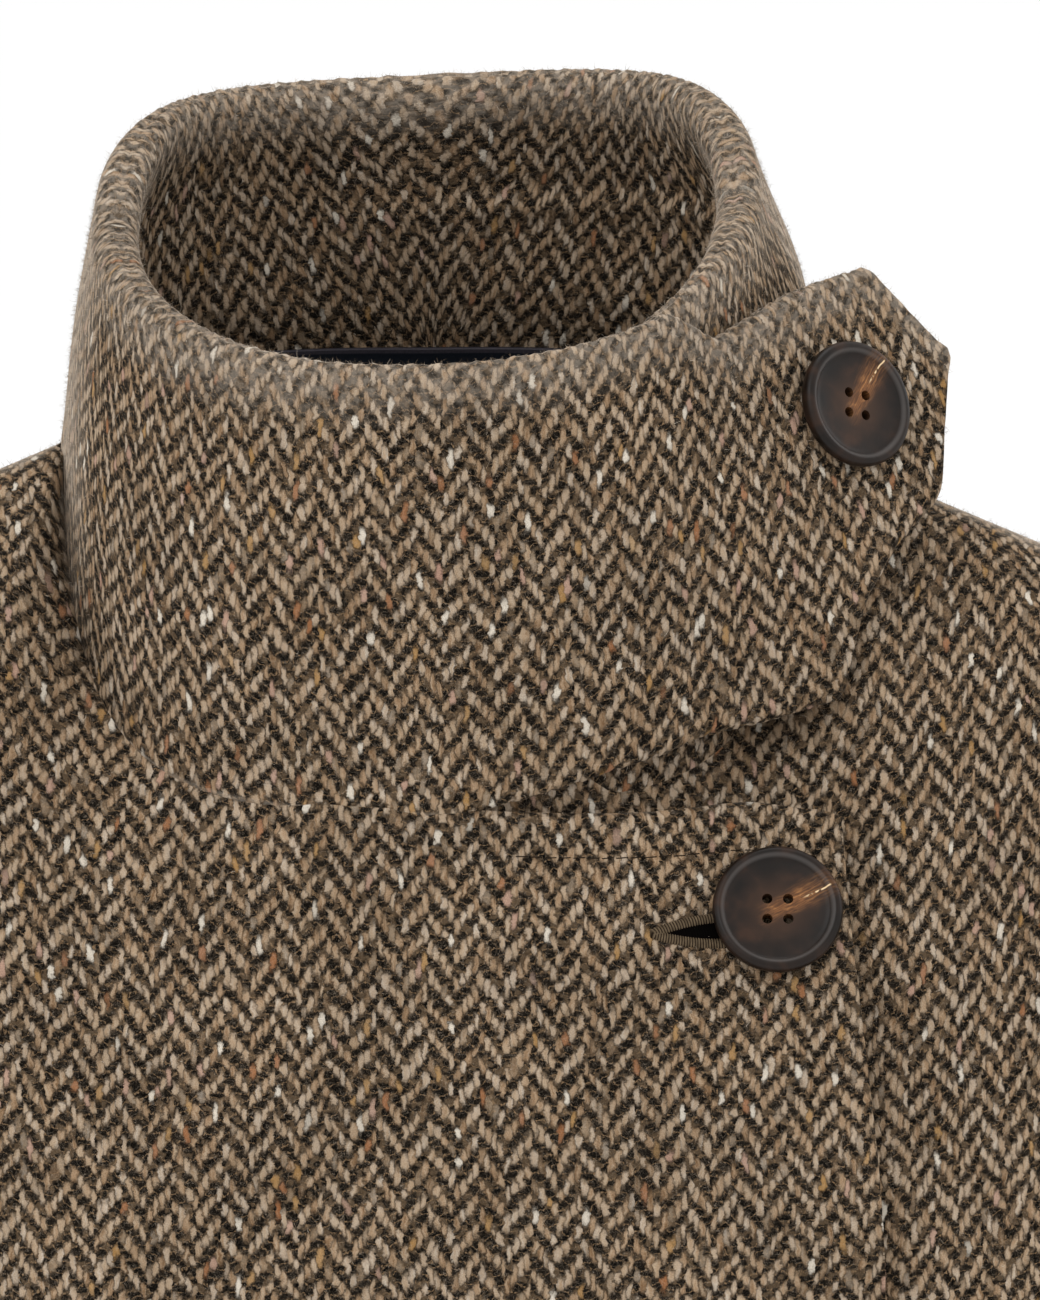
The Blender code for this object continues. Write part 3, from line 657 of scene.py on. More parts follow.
weaveTree = makeWeave()
tweed = tweedMaterial("tweed", weaveTree)
print("cloth material made")


# Back: one panel, with the drape of a straight coat below the shoulder blades
backCut = {
    "columns": 70,
    "settled": 1200,
    "creases": [
        (-0.10, 0.62, -0.05, 0.30, -0.0024, 0.022),
        (0.09, 0.66, 0.13, 0.36, -0.0020, 0.018),
        (0.02, 0.48, -0.02, 0.22, 0.0018, 0.026),
        (-0.20, 0.70, -0.13, 0.62, -0.0022, 0.011),
        (0.21, 0.71, 0.14, 0.63, -0.0024, 0.010),
        (-0.06, 0.90, 0.05, 0.895, -0.0012, 0.012),
    ],
    "flat": (0.64, 0.955),
}


def makeBack():
    half = backCut["columns"]
    levels = panelLevels()[:, None]
    shares = np.linspace(0, 1, half + 1)[None, :]
    left = panelPoints(levels, shares, 1, True)
    right = panelPoints(levels, shares, -1, True)
    points = np.concatenate([left[:, ::-1], right[:, 1:]], axis=1)
    flat = panelFlat(points, half, body["trunkRows"])
    flat = settleFlat(points, flat, body["trunkRows"], backCut["settled"])
    points = pressCreases(points, flat, backCut["creases"])
    points, flat = crispEdges(points), crispEdges(flat)
    mesh = makeMesh("coatBack", points, flat)
    return addPiece("coatBack", mesh, tweed, ["back"], body["wall"])


coatBack = makeBack()
print("back made")


# Left front: lies under the right one
leftCut = {
    "columns": 72,
    "underEdge": 0.030,
    "stand": 0.022,
    "standFrom": 0.045,
    "standFullFrom": 0.009,
    "centreShare": 0.04,
    "standRise": 0.0065,
    "standTall": 0.014,
    "standEnds": (0.034, 0.043),
    "creases": [
        (0.085, 0.70, 0.125, 0.56, -0.0018, 0.013),
        (0.215, 0.70, 0.150, 0.635, -0.0026, 0.011),
        (0.205, 0.735, 0.135, 0.70, -0.0014, 0.009),
        (0.190, 0.45, 0.235, 0.16, 0.0022, 0.022),
        (0.120, 0.38, 0.150, 0.08, -0.0020, 0.020),
    ],
    "flat": (0.30, 0.93),
}


def makeLeftFront():
    levels = panelLevels()[:, None]
    start = np.empty(len(levels))
    tries = np.linspace(0, 0.6, 1200)
    reach = np.abs(panelPoints(levels, tries[None, :], 1, False)[..., 0])
    # near the neck the edge runs further under, and stands up behind the collar's free edge
    centre = panelPoints(levels, np.full((1, 1), leftCut["centreShare"]), 1, False)[:, 0, 2]
    near = smooth(centre[-1] - leftCut["standFrom"], centre[-1] - leftCut["standFullFrom"], centre)
    edge = leftCut["underEdge"] - leftCut["stand"] * near
    for row in range(len(levels)):
        start[row] = np.interp(edge[row], reach[row], tries)
    run = np.linspace(0, 1, leftCut["columns"] + 1)[None, :]
    shares = start[:, None] + (1 - start[:, None]) * run
    points = panelPoints(levels, shares, 1, False)
    inside = 1 - smooth(*leftCut["standEnds"], points[..., 0])
    top = points[-1:, :, 2]
    high = smooth(top - leftCut["standTall"], top, points[..., 2])
    points[..., 2] += leftCut["standRise"] * inside * high
    flat = panelFlat(points, 0, body["trunkRows"])
    past = np.minimum(points[..., 0] - leftCut["underEdge"], 0.0)
    flat[..., 0] += leftCut["underEdge"] + past
    points = pressCreases(points, flat, leftCut["creases"])
    points, flat = crispEdges(points), crispEdges(flat)
    mesh = makeMesh("frontLeft", points, flat)
    return addPiece("frontLeft", mesh, tweed, ["front_left"], body["wall"])


frontLeft = makeLeftFront()
print("left front made")


# Right front: wraps over the left one, with a stiff top corner
rightCut = {
    "columns": 72,
    "overlapColumns": 44,
    "edgeTop": 0.0955,
    "edgeLow": 0.1025,
    "edgeLowHeight": -0.170,
    "topDrop": 0.010,
    "riseFrom": -0.040,
    "riseTo": 0.028,
    "out": 0.0038,
    "standOff": 0.009,
    "standOffEnds": -0.300,
    "round": 0.0013,
    "edgeLevels": (0.014, 0.009, 0.005, 0.002),
    "edgeRuns": (0.016, 0.011, 0.006, 0.002),
    "freeFrom": (-0.004, 0.004),
    # band along the top and front edges kept free of painted sheen, and its edge mark
    "sheenOffBand": 0.003,
    "edgeSheenOff": -0.8,
    "creases": [
        (-0.035, 0.735, -0.110, 0.50, -0.0011, 0.016),
        (-0.215, 0.70, -0.150, 0.63, -0.0026, 0.011),
        (-0.200, 0.74, -0.130, 0.705, -0.0015, 0.009),
        (-0.185, 0.46, -0.225, 0.14, 0.0024, 0.022),
        (-0.110, 0.40, -0.140, 0.06, -0.0022, 0.020),
        (0.010, 0.36, 0.030, 0.05, 0.0016, 0.024),
        (0.030, 0.765, 0.085, 0.735, 0.0006, 0.010),
    ],
    "flat": (0.42, 0.93),
}


def nearTop(height):
    return smooth(rightCut["standOffEnds"], -body["neckFrontDrop"], height)


def overlapOut(x, height):
    laid = rightCut["out"] * smooth(rightCut["riseFrom"], rightCut["riseTo"], x)
    stiff = np.maximum(x, 0.0) / rightCut["edgeTop"] * nearTop(height)
    return laid + rightCut["standOff"] * stiff


def guideTree():
    levels = panelLevels()[::2, None]
    points = panelPoints(levels, np.linspace(0, 0.75, 100)[None, :], 1, False)
    mesh = makeMesh("guide", points, points[..., :2])
    tree = treeOf(mesh)
    bpy.data.meshes.remove(mesh)
    return tree


def makeRightFront():
    guide = guideTree()
    levels = panelLevels()
    levels = np.sort(np.concatenate([levels, 2 - np.array(rightCut["edgeLevels"])]))[:, None]
    shares = np.linspace(1, 0, rightCut["columns"] + 1)[None, :]
    points = panelPoints(levels, shares, -1, False)
    points[..., 1] -= overlapOut(points[..., 0], points[..., 2])
    runs = np.linspace(0, 1, rightCut["overlapColumns"] + 1)[1:]
    runs = np.sort(np.concatenate([runs, 1 - np.array(rightCut["edgeRuns"])]))
    over = np.empty((len(levels), len(runs), 3))
    ahead = Vector((0, 1, 0))
    for row in range(len(levels)):
        height = points[row, -1, 2]
        low = smooth(-body["neckFrontDrop"], rightCut["edgeLowHeight"], height)
        edge = rightCut["edgeTop"] + (rightCut["edgeLow"] - rightCut["edgeTop"]) * low
        drop = rightCut["topDrop"] * nearTop(height)
        for column, run in enumerate(runs):
            place, normal, _, _ = guide.ray_cast(
                Vector((edge * run, -1, height - drop * run)), ahead
            )
            normal = normal if normal.y < 0 else -normal
            over[row, column] = place + normal * float(overlapOut(place.x, place.z))
    for _ in range(3):  # the guide's facets are smoothed out of the overlap
        inner = over[:, 1:-1].copy()
        over[:, 1:-1] = (over[:, :-2] + 2 * inner + over[:, 2:]) / 4
    points = np.concatenate([points, over], axis=1)
    flat = panelFlat(points, rightCut["columns"], body["trunkRows"])
    points = pressCreases(points, flat, rightCut["creases"])

    # the pressed front edge and top edge turn in
    normals = gridNormals(points)
    fromEdge = flat[:, -1:, 0] - flat[..., 0]
    fromTop = flat[-1:, :, 1] - flat[..., 1]
    radius = rightCut["round"] * 1.6
    turned = np.clip(1 - fromEdge / radius, 0, 1) ** 2
    onFree = smooth(*rightCut["freeFrom"], points[..., 0])
    turned = np.maximum(turned, np.clip(1 - fromTop / radius, 0, 1) ** 2 * onFree)
    points = points - normals * (turned * rightCut["round"])[..., None]
    # along the top and front edges the edge mark is negative, which keeps the painted sheen off so these
    # edges stay in their shade
    atTop = np.clip(1 - fromTop / rightCut["sheenOffBand"], 0, 1) * onFree
    atEdge = np.clip(1 - fromEdge / rightCut["sheenOffBand"], 0, 1)
    edgeMark = rightCut["edgeSheenOff"] * np.maximum(atTop, atEdge)
    points, flat = crispEdges(points), crispEdges(flat)
    mesh = makeMesh("frontRight", points, flat, crispEdges(edgeMark))
    return addPiece("frontRight", mesh, tweed, ["front_right"], body["wall"])


frontRight = makeRightFront()
print("right front made")


# Sleeves: from the armhole over a full cap, then rings down to the open cuff
sleeve = {
    "centres": [
        (0.272, 0.002, -0.285),
        (0.300, 0.006, -0.430),
        (0.317, -0.014, -0.560),
        (0.327, -0.036, -0.655),
    ],
    "halfAcross": [0.059, 0.055, 0.050, 0.047],
    "halfDeep": [0.078, 0.069, 0.060, 0.054],
    "capTopPull": (0.150, 0.0, -0.040),
    "capLowPull": (0.045, 0.0, -0.050),
    "capEndPull": 0.120,
    "capLowLess": 0.5,
    "wayStep": 0.033,
    "around": 96,
    "capRows": 44,
    "rows": 84,
    "creases": [
        (0.105, -0.30, 0.175, -0.345, -0.0034, 0.010),
        (0.120, -0.345, 0.200, -0.375, -0.0040, 0.009),
        (0.100, -0.385, 0.165, -0.392, -0.0026, 0.008),
        (0.215, -0.33, 0.265, -0.30, -0.0028, 0.010),
        (0.050, -0.13, 0.085, -0.215, -0.0022, 0.012),
        (0.255, -0.16, 0.300, -0.235, -0.0022, 0.013),
        (0.150, -0.17, 0.205, -0.20, -0.0034, 0.010),
        (0.330, -0.42, 0.370, -0.36, 0.0022, 0.016),
    ],
    "flat": (0.44, 0.60),
}


def sleeveRing(place, turn, side):
    stations = np.arange(4)
    centre = spline(stations, sleeve["centres"], place)
    across = spline(stations, sleeve["halfAcross"], place)
    deep = spline(stations, sleeve["halfDeep"], place)
    ahead = spline(stations, sleeve["centres"], np.minimum(place + sleeve["wayStep"], 3))
    behind = spline(stations, sleeve["centres"], np.maximum(place - sleeve["wayStep"], 0))
    down = unit(ahead - behind)
    out = np.array([1.0, 0, 0]) - down * down[..., :1]
    out = unit(out)
    fore = np.cross(down, out)
    fore = np.where(fore[..., 1:2] > 0, -fore, fore)
    ring = (
        centre
        + out * (across * np.cos(turn))[..., None]
        + fore * (deep * np.sin(turn))[..., None]
    )
    flip = np.array([side, 1, 1])
    return ring * flip, down * flip


def makeSleeve(name, node, side):
    count = sleeve["around"]
    step = np.arange(count + 1) / count * 2  # 0 to 1 down the front, 1 to 2 up the back
    frontRise = yokeRise(np.clip(1 - step, 0, 1))
    backRise = yokeRise(np.clip(step - 1, 0, 1))
    front = yokePoint(np.ones(count + 1), frontRise, side, False)
    back = yokePoint(np.ones(count + 1), backRise, side, True)
    armhole = np.where((step < 1)[:, None], front, back)
    turn = np.where(step < 1, np.pi * (1 - frontRise), np.pi * (1 + backRise))
    first, down = sleeveRing(np.zeros(count + 1), turn, side)
    low = (1 - np.cos(turn)) / 2
    flip = np.array([side, 1, 1])
    leave = blend(np.array(sleeve["capTopPull"]), np.array(sleeve["capLowPull"]), low) * flip
    arrive = down * (sleeve["capEndPull"] * (1 - sleeve["capLowLess"] * low))[:, None]
    capSteps = (np.arange(sleeve["capRows"]) / sleeve["capRows"])[:, None]
    cap = hermite(armhole, leave, first, arrive, np.broadcast_to(capSteps, (sleeve["capRows"], count + 1)))
    places = np.linspace(0, 3, sleeve["rows"] + 1)[:, None]
    rings, _ = sleeveRing(*np.broadcast_arrays(places, turn[None, :]), side)
    points = np.concatenate([cap, rings])
    mid = sleeve["capRows"]
    girth = np.concatenate([[0], np.cumsum(lengthOf(np.diff(points[mid], axis=0)))])
    u = np.broadcast_to(girth, points.shape[:2])
    drop = np.cumsum(lengthOf(np.diff(points, axis=0)).mean(1))
    v = np.broadcast_to(-np.concatenate([[0], drop])[:, None], points.shape[:2])
    flat = np.stack([u, v], -1)
    if side < 0:
        points, flat = points[:, ::-1], flat[:, ::-1]
    points = pressCreases(points, flat, sleeve["creases"])
    points[:, -1] = points[:, 0]
    points, flat = closeToEnds(points), closeToEnds(flat)
    mesh = makeMesh(name, points, flat, closed=True)
    return addPiece(name, mesh, tweed, [node], body["wall"])


sleeveLeft = makeSleeve("sleeveLeft", "sleeve_left", 1)
sleeveRight = makeSleeve("sleeveRight", "sleeve_right", -1)
print("sleeves made")


# Collar: one wound band, from its under end round the neck and over to the tab
front = 2 * math.pi
collar = {
    "rimHalfWidth": 0.0777,
    "rimX": -0.0012,
    "rimY": -0.002,
    "rimHalfDepth": 0.062,
    "rimFrontSquareness": 2.2,
    "rimBackSquareness": 3.5,
    "rimHeight": 0.0605,
    "rimTilt": 0.400,
    "rimRoll": 0.046,
    "rimSideRise": 0.003,
    "bulge": 0.001,
    "leftBulge": 0.006,
    "leftFull": (0.5, math.pi / 2, 2.6),
    "tabLeaves": front + 0.72,
    "tabRun": 0.08,
    "tabLowCourse": (0.940, 0.342, 0.10),
    "tabTopCourse": (0.643, 0.766, 0.15),
    "overFrom": front - 0.50,
    "overOutLow": 0.0105,
    "overOutTop": 0.0065,
    "underInLow": 0.0010,
    "underInTop": 0.0035,
    "underInEnds": 1.35,
    "seamInset": 0.0010,
    "insetTurns": (front - 0.55, front - 0.15),
    "sewnTo": front + 0.04,
    # edge mark on the hem arc: positive where sewn, for pale patches and painted sheen, negative where
    # free, to keep the painted sheen off the shaded edge
    "sewnPaleMark": 0.8,
    "freeSheenOff": -0.8,
    "wall": 0.007,
    "rimWall": 0.0115,
    "seamWall": 0.004,
    "tabWall": 0.0058,
    "singleFrom": (0.9, 1.4),  # where the band is one layer deep, its rim is thicker
    "singleTo": front - 0.50 + 0.6,
    "thinFrom": front + 0.2,
    "seamWallTo": 0.22,
    "rimWallFrom": (0.60, 0.95),
    "sideRows": 44,
    "arcRows": 14,
    "rimGroove": 0.0009,
    "edgeBump": 0.00030,
    "bumpWaves": [(0.49, 0.0, 1.0), (0.31, 1.0, 0.8), (0.173, 2.0, 0.6)],  # rate, phase, size
    "grooveHalf": 0.22,
    "grooveLeast": 0.75,
    "grooveWaves": 17.0,
    # how far the rim's pale patches reach down the outside and inside faces
    "paleOutside": 0.012,
    "paleInside": 0.010,
    "plainCourses": 560,
    "tabCourses": 170,
    "tabCoursesFrom": front + 0.66,
    "edgeRounds": 8,
    "creaseDepth": 0.0015,
    "creaseHalf": 0.034,
    "creaseDip": 0.7,
    "creaseDipAt": 1.8,
    "creaseHigh": 0.535,
    "creaseSlope": 0.03,
    "creaseFrom": (1.75, 2.2),
    "creaseTo": (2.95, 3.35),
    # course in radians round the neck, then the shares of the height where it starts and ends
    "edges": [
        (0.45, -0.024, 0.90),
        (0.75, -0.024, 0.97),
        (1.05, -0.024, 1.00),
        (front + 0.04, -0.024, 1.00),
        (front + 0.17, 0.008, 1.00),
        (front + 0.33, 0.042, 1.00),
        (front + 0.48, 0.071, 1.00),
        (front + 0.74, 0.090, 1.00),
        (front + 0.925, 0.094, 0.908),
        (front + 1.19, 0.112, 0.935),
        (front + 1.26, 0.222, 0.940),
        (front + 1.32, 0.297, 0.941),
        (front + 1.46, 0.388, 0.938),
        (front + 1.607, 0.443, 0.933),
        (front + 1.655, 0.459, 0.888),
        (front + 1.715, 0.560, 0.831),
        (front + 1.82, 0.700, 0.732),
    ],
    "flat": (0.62, 0.13),
    "area": 0.052,
}


def rimOuter(angle):
    sine, cosine = np.sin(angle), np.cos(angle)
    square = np.where(cosine >= 0, collar["rimFrontSquareness"], collar["rimBackSquareness"])
    x = collar["rimX"] + collar["rimHalfWidth"] * np.sign(sine) * np.abs(sine) ** (2 / square)
    y = collar["rimY"] - collar["rimHalfDepth"] * np.sign(cosine) * np.abs(cosine) ** (2 / square)
    z = collar["rimHeight"] + collar["rimTilt"] * y + collar["rimRoll"] * x
    return np.stack([x, y, z + collar["rimSideRise"] * sine * sine], -1)


def levelNormal(curve, angle):
    course = curve(angle + 0.01) - curve(angle - 0.01)
    return unit(np.stack([course[..., 1], -course[..., 0], np.zeros(course.shape[:-1])], -1))


def bandLine(curve, course, out, inward, straight):
    angle = np.minimum(course, collar["tabLeaves"])
    over = out * smooth(collar["overFrom"], collar["tabLeaves"], angle)
    under = inward * (1 - smooth(collar["edges"][0][0], collar["underInEnds"], angle))
    point = curve(angle) + levelNormal(curve, angle) * (over - under)[..., None]
    run = collar["tabRun"] * np.maximum(course - collar["tabLeaves"], 0.0)
    return point + np.array(straight) * run[..., None]


def bandPoint(course, share):
    course, share = np.broadcast_arrays(np.asarray(course, float), np.asarray(share, float))
    low = bandLine(neckSeam, course, collar["overOutLow"], collar["underInLow"], collar["tabLowCourse"])
    angle = np.minimum(course, collar["tabLeaves"])
    inset = collar["seamInset"] * (2 * smooth(*collar["insetTurns"], course) - 1)
    low = low - levelNormal(neckSeam, angle) * inset[..., None]
    top = bandLine(rimOuter, course, collar["overOutTop"], collar["underInTop"], collar["tabTopCourse"])
    start, most, end = collar["leftFull"]
    full = smooth(start, most, course) * (1 - smooth(most, end, course))
    bulge = collar["bulge"] + collar["leftBulge"] * full
    lift = bulge * np.sin(np.pi * share) ** 2
    return blend(low, top, share) + levelNormal(rimOuter, angle) * lift[..., None]


def bandNormal(course, share):
    along = bandPoint(course + 0.02, share) - bandPoint(course - 0.02, share)
    upward = bandPoint(course, share + 0.02) - bandPoint(course, share - 0.02)
    return unit(np.cross(along, upward))


def bandWall(course, share):
    single = smooth(*collar["singleFrom"], course)
    single = single * (1 - smooth(collar["overFrom"], collar["singleTo"], course))
    thin = smooth(collar["thinFrom"], collar["tabLeaves"], course)
    wall = collar["wall"] + (collar["tabWall"] - collar["wall"]) * thin
    wall = collar["seamWall"] + (wall - collar["seamWall"]) * smooth(0.0, collar["seamWallTo"], share)
    return wall + (collar["rimWall"] - collar["wall"]) * single * smooth(*collar["rimWallFrom"], share)


def bandCourses():
    plain = np.linspace(collar["edges"][0][0], collar["tabCoursesFrom"], collar["plainCourses"])
    tab = np.linspace(collar["tabCoursesFrom"], collar["edges"][-1][0], collar["tabCourses"])[1:]
    return np.concatenate([plain, tab])


def makeCollar():
    courses = bandCourses()
    table = np.array(collar["edges"])
    low = roundOff(np.interp(courses, table[:, 0], table[:, 1]), collar["edgeRounds"])
    top = roundOff(np.interp(courses, table[:, 0], table[:, 2]), collar["edgeRounds"])
    tall = lengthOf(bandPoint(courses, top) - bandPoint(courses, low))
    topRadius = np.minimum(bandWall(courses, top) / 2, tall / 4)
    lowRadius = np.minimum(bandWall(courses, low) / 2, tall / 4)
    straightTop = top - (top - low) * topRadius / tall
    straightLow = low + (top - low) * lowRadius / tall
    run = np.linspace(0, 1, collar["sideRows"] + 1)[None, :]
    share = straightLow[:, None] + (straightTop - straightLow)[:, None] * run
    course = np.broadcast_to(courses[:, None], share.shape)
    outer = bandPoint(course, share)
    normal = bandNormal(course, share)
    high = collar["creaseHigh"] + collar["creaseSlope"] * (np.pi - course)
    level = (share - high) / collar["creaseHalf"]
    ends = smooth(*collar["creaseFrom"], course) * (1 - smooth(*collar["creaseTo"], course))
    dip = collar["creaseDip"] * np.exp(-((level - collar["creaseDipAt"]) ** 2))
    ridge = np.exp(-(level**2)) - dip
    roll = collar["creaseDepth"] * ends * ridge
    inner = outer - normal * (bandWall(course, share) + roll)[..., None]

    middle = bandPoint(courses, np.full_like(courses, 0.5))
    u = np.concatenate([[0], np.cumsum(lengthOf(np.diff(middle, axis=0)))])
    yarn = u / weave["warp"] * 2 * np.pi
    bumps = sum(size * np.sin(yarn * rate + phase) for rate, phase, size in collar["bumpWaves"])
    bumps = collar["edgeBump"] * bumps / 2

    def cap(first, second, tip, radius, groove):
        turn = np.linspace(0, np.pi, collar["arcRows"] + 1)[1:-1]
        centre = (first + second)[:, None] / 2
        half = (first - second)[:, None] / 2
        rise = unit(tip)[:, None] * (radius + bumps)[:, None, None]
        dip = groove[:, None] * np.exp(-(((turn - np.pi / 2) / collar["grooveHalf"]) ** 2))
        size = 1 - dip / np.maximum(radius[:, None], 1e-5)
        return centre + half * np.cos(turn)[:, None] + rise * (np.sin(turn) * size)[..., None]

    foot, head = (bandPoint(courses, np.full_like(courses, end)) for end in (0.0, 1.0))
    fullHeight = lengthOf(head - foot)
    topTip = bandPoint(courses, top) - bandPoint(courses, straightTop)
    lowTip = bandPoint(courses, low) - bandPoint(courses, straightLow)
    least = collar["grooveLeast"]
    seam = collar["rimGroove"] * (least + (1 - least) * np.sin(courses * collar["grooveWaves"]))
    rim = cap(outer[:, -1], inner[:, -1], topTip, topRadius, seam)
    hemArc = cap(inner[:, 0], outer[:, 0], lowTip, lowRadius, np.zeros_like(seam))
    points = np.concatenate([outer, rim, inner[:, ::-1], hemArc, outer[:, :1]], axis=1)

    # flat: u along the middle of the band, v up each face from its own lower edge
    faceV = (share - 0.5) * fullHeight[:, None]
    around = np.linspace(0, 1, collar["arcRows"] + 1)[1:-1]
    climb = np.pi * topRadius[:, None] * np.minimum(around, 1 - around)[None, :]
    rimV = faceV[:, -1:] + climb
    hemV = faceV[:, :1] - np.pi * lowRadius[:, None] * np.minimum(around, 1 - around)[None, :]
    v = np.concatenate([faceV, rimV, faceV[:, ::-1], hemV, faceV[:, :1]], axis=1)
    flat = np.stack([np.broadcast_to(u[:, None], v.shape), v], -1)
    # the hem arc is marked positive where sewn, which brings pale patches and painted sheen there, and
    # negative where free, which keeps the painted sheen off the edge that lies in shade
    hemMark = np.where(courses > collar["sewnTo"], collar["freeSheenOff"], collar["sewnPaleMark"])
    fromRim = (straightTop[:, None] - share) * fullHeight[:, None]
    edgeMark = np.concatenate(
        [
            smooth(collar["paleOutside"], 0.0, fromRim),
            np.ones(rim.shape[:2]),
            smooth(collar["paleInside"], 0.0, fromRim[:, ::-1]),
            hemMark[:, None] * np.ones(hemArc.shape[:2]),
            np.zeros((len(courses), 1)),
        ],
        axis=1,
    )
    mesh = makeMesh("collarBand", points, flat, edgeMark, closed=True, capped=True)
    return addPiece("collarBand", mesh, tweed, ["collar"])


collarBand = makeCollar()
print("collar made")


# Lining at the back of the neck, turned up over the collar seam with a bound edge
liningCut = {
    "wall": 0.001,
    "inside": 0.0036,
    "insideTop": 0.0064,
    "reach": 5 / 13,
    "columns": 50,
    "up": 0.062,
    "clear": 0.0017,
    "rows": 34,
    "upRows": 14,
    "boundRows": 4,
    "from": 0.6,
    "to": 0.965,
    "deepFrom": 0.85,
    "upFrom": 0.004,
    "satin": (tone(11, 15, 21), tone(24, 29, 37)),
    "binding": (tone(40, 38, 44), tone(62, 58, 64)),
    "flat": (0.20, 0.065),
}


def makeLining():
    material, kit, shader = newMaterial("lining")
    place = kit.put("ShaderNodeUVMap", uv_map="weave").outputs[0]
    bound = kit.put("ShaderNodeAttribute", attribute_name="edgeMark").outputs["Fac"]
    rib = kit.noise(kit.vector("MULTIPLY", place, (1.0, 0.35, 1.0)), 2600.0, 1.0)
    satin = kit.mix(rib, *liningCut["satin"])
    binding = kit.mix(rib, *liningCut["binding"])
    kit.feed(shader.inputs["Base Color"], kit.mix(bound, satin, binding))
    kit.feed(shader.inputs["Roughness"], kit.between(0.2, 0.8, rib, 0.40, 0.55))
    shader.inputs["Specular IOR Level"].default_value = 0.2
    rises = np.linspace(float(yokeRise(liningCut["from"])), liningCut["to"], liningCut["rows"])[:, None]
    shares = np.linspace(0, liningCut["reach"], liningCut["columns"])[None, :]
    deeper = smooth(liningCut["deepFrom"], liningCut["to"], rises)
    deep = liningCut["inside"] + (liningCut["insideTop"] - liningCut["inside"]) * deeper
    climbs = np.linspace(liningCut["upFrom"], liningCut["up"], liningCut["upRows"])[:, None]
    turns = shares / body["neckShare"] * np.pi / 2
    halves = []
    for side in (1, -1):
        spot = yokePoint(shares, rises, side, True)
        across = yokePoint(shares + 0.02, rises, side, True) - spot
        upward = spot - yokePoint(shares, rises - 0.02, side, True)
        low = spot + unit(np.cross(across, upward)) * side * deep[..., None]
        course, climb = np.broadcast_arrays(np.pi - side * turns, climbs)
        inset = bandWall(course, climb) + liningCut["clear"]
        high = bandPoint(course, climb) - bandNormal(course, climb) * inset[..., None]
        halves.append(roundOff(np.concatenate([low, high]), 5))
    points = np.concatenate([halves[0][:, ::-1], halves[1][:, 1:]], axis=1)
    flat = panelFlat(points, liningCut["columns"] - 1, 0)
    edge = np.zeros(points.shape[:2])
    edge[-liningCut["boundRows"] :] = 1.0
    mesh = makeMesh("neckLining", points, flat, edge)
    return addPiece("neckLining", mesh, material, ["neck_lining"], liningCut["wall"])


neckLining = makeLining()
print("lining made")


# Buttons: turned horn with a raised rim and four holes
button = {
    # radius and height, from the middle of the face round to the middle of the back
    "profile": [
        (0.0000, 0.0033), (0.0040, 0.0033), (0.0080, 0.0034), (0.0108, 0.0036), (0.0118, 0.0037),
        (0.0122, 0.0039), (0.0126, 0.0044), (0.0131, 0.0047), (0.0137, 0.0047), (0.0144, 0.0044),
        (0.0149, 0.0037), (0.0150, 0.0030), (0.0149, 0.0020), (0.0145, 0.0012), (0.0136, 0.0005),
        (0.0120, 0.0001), (0.0060, 0.0000), (0.0000, 0.0000),
    ],
    "sides": 96,
    "holeRadius": 0.0012,
    "holeSpacing": 0.0048,
    "holeSides": 28,
    # each hole and its lip: height, depth, lower and upper width in hole radii
    "cuts": [(0.0020, 0.0120, 1.0, 1.0), (0.0036, 0.0010, 0.7, 1.6)],
    "sharpFrom": 50,
    # which way each button's streak points, in degrees
    "streaks": {
        "button_front_1": 28,
        "button_front_2": 200,
        "button_front_3": 95,
        "button_front_4": 310,
        "button_tab": 62,
    },
    "dark": [(0.30, tone(18, 12, 8)), (0.55, tone(30, 20, 14)), (0.75, tone(50, 32, 21))],
    "amber": [(0.25, tone(88, 55, 31)), (0.55, tone(126, 82, 47)), (0.85, tone(170, 120, 72))],
    "warm": tone(72, 48, 32),
    # painted highlight: a pale thin ring at the inner edge of the rim, and its radius
    "rimHighlight": tone(98, 93, 90),
    "rimHighlightRadius": 0.01275,
    "glint": tone(226, 196, 152),
    "glintPatches": (900.0, 1.0, 0.30, 0.44, 0.0, 1.0),
}


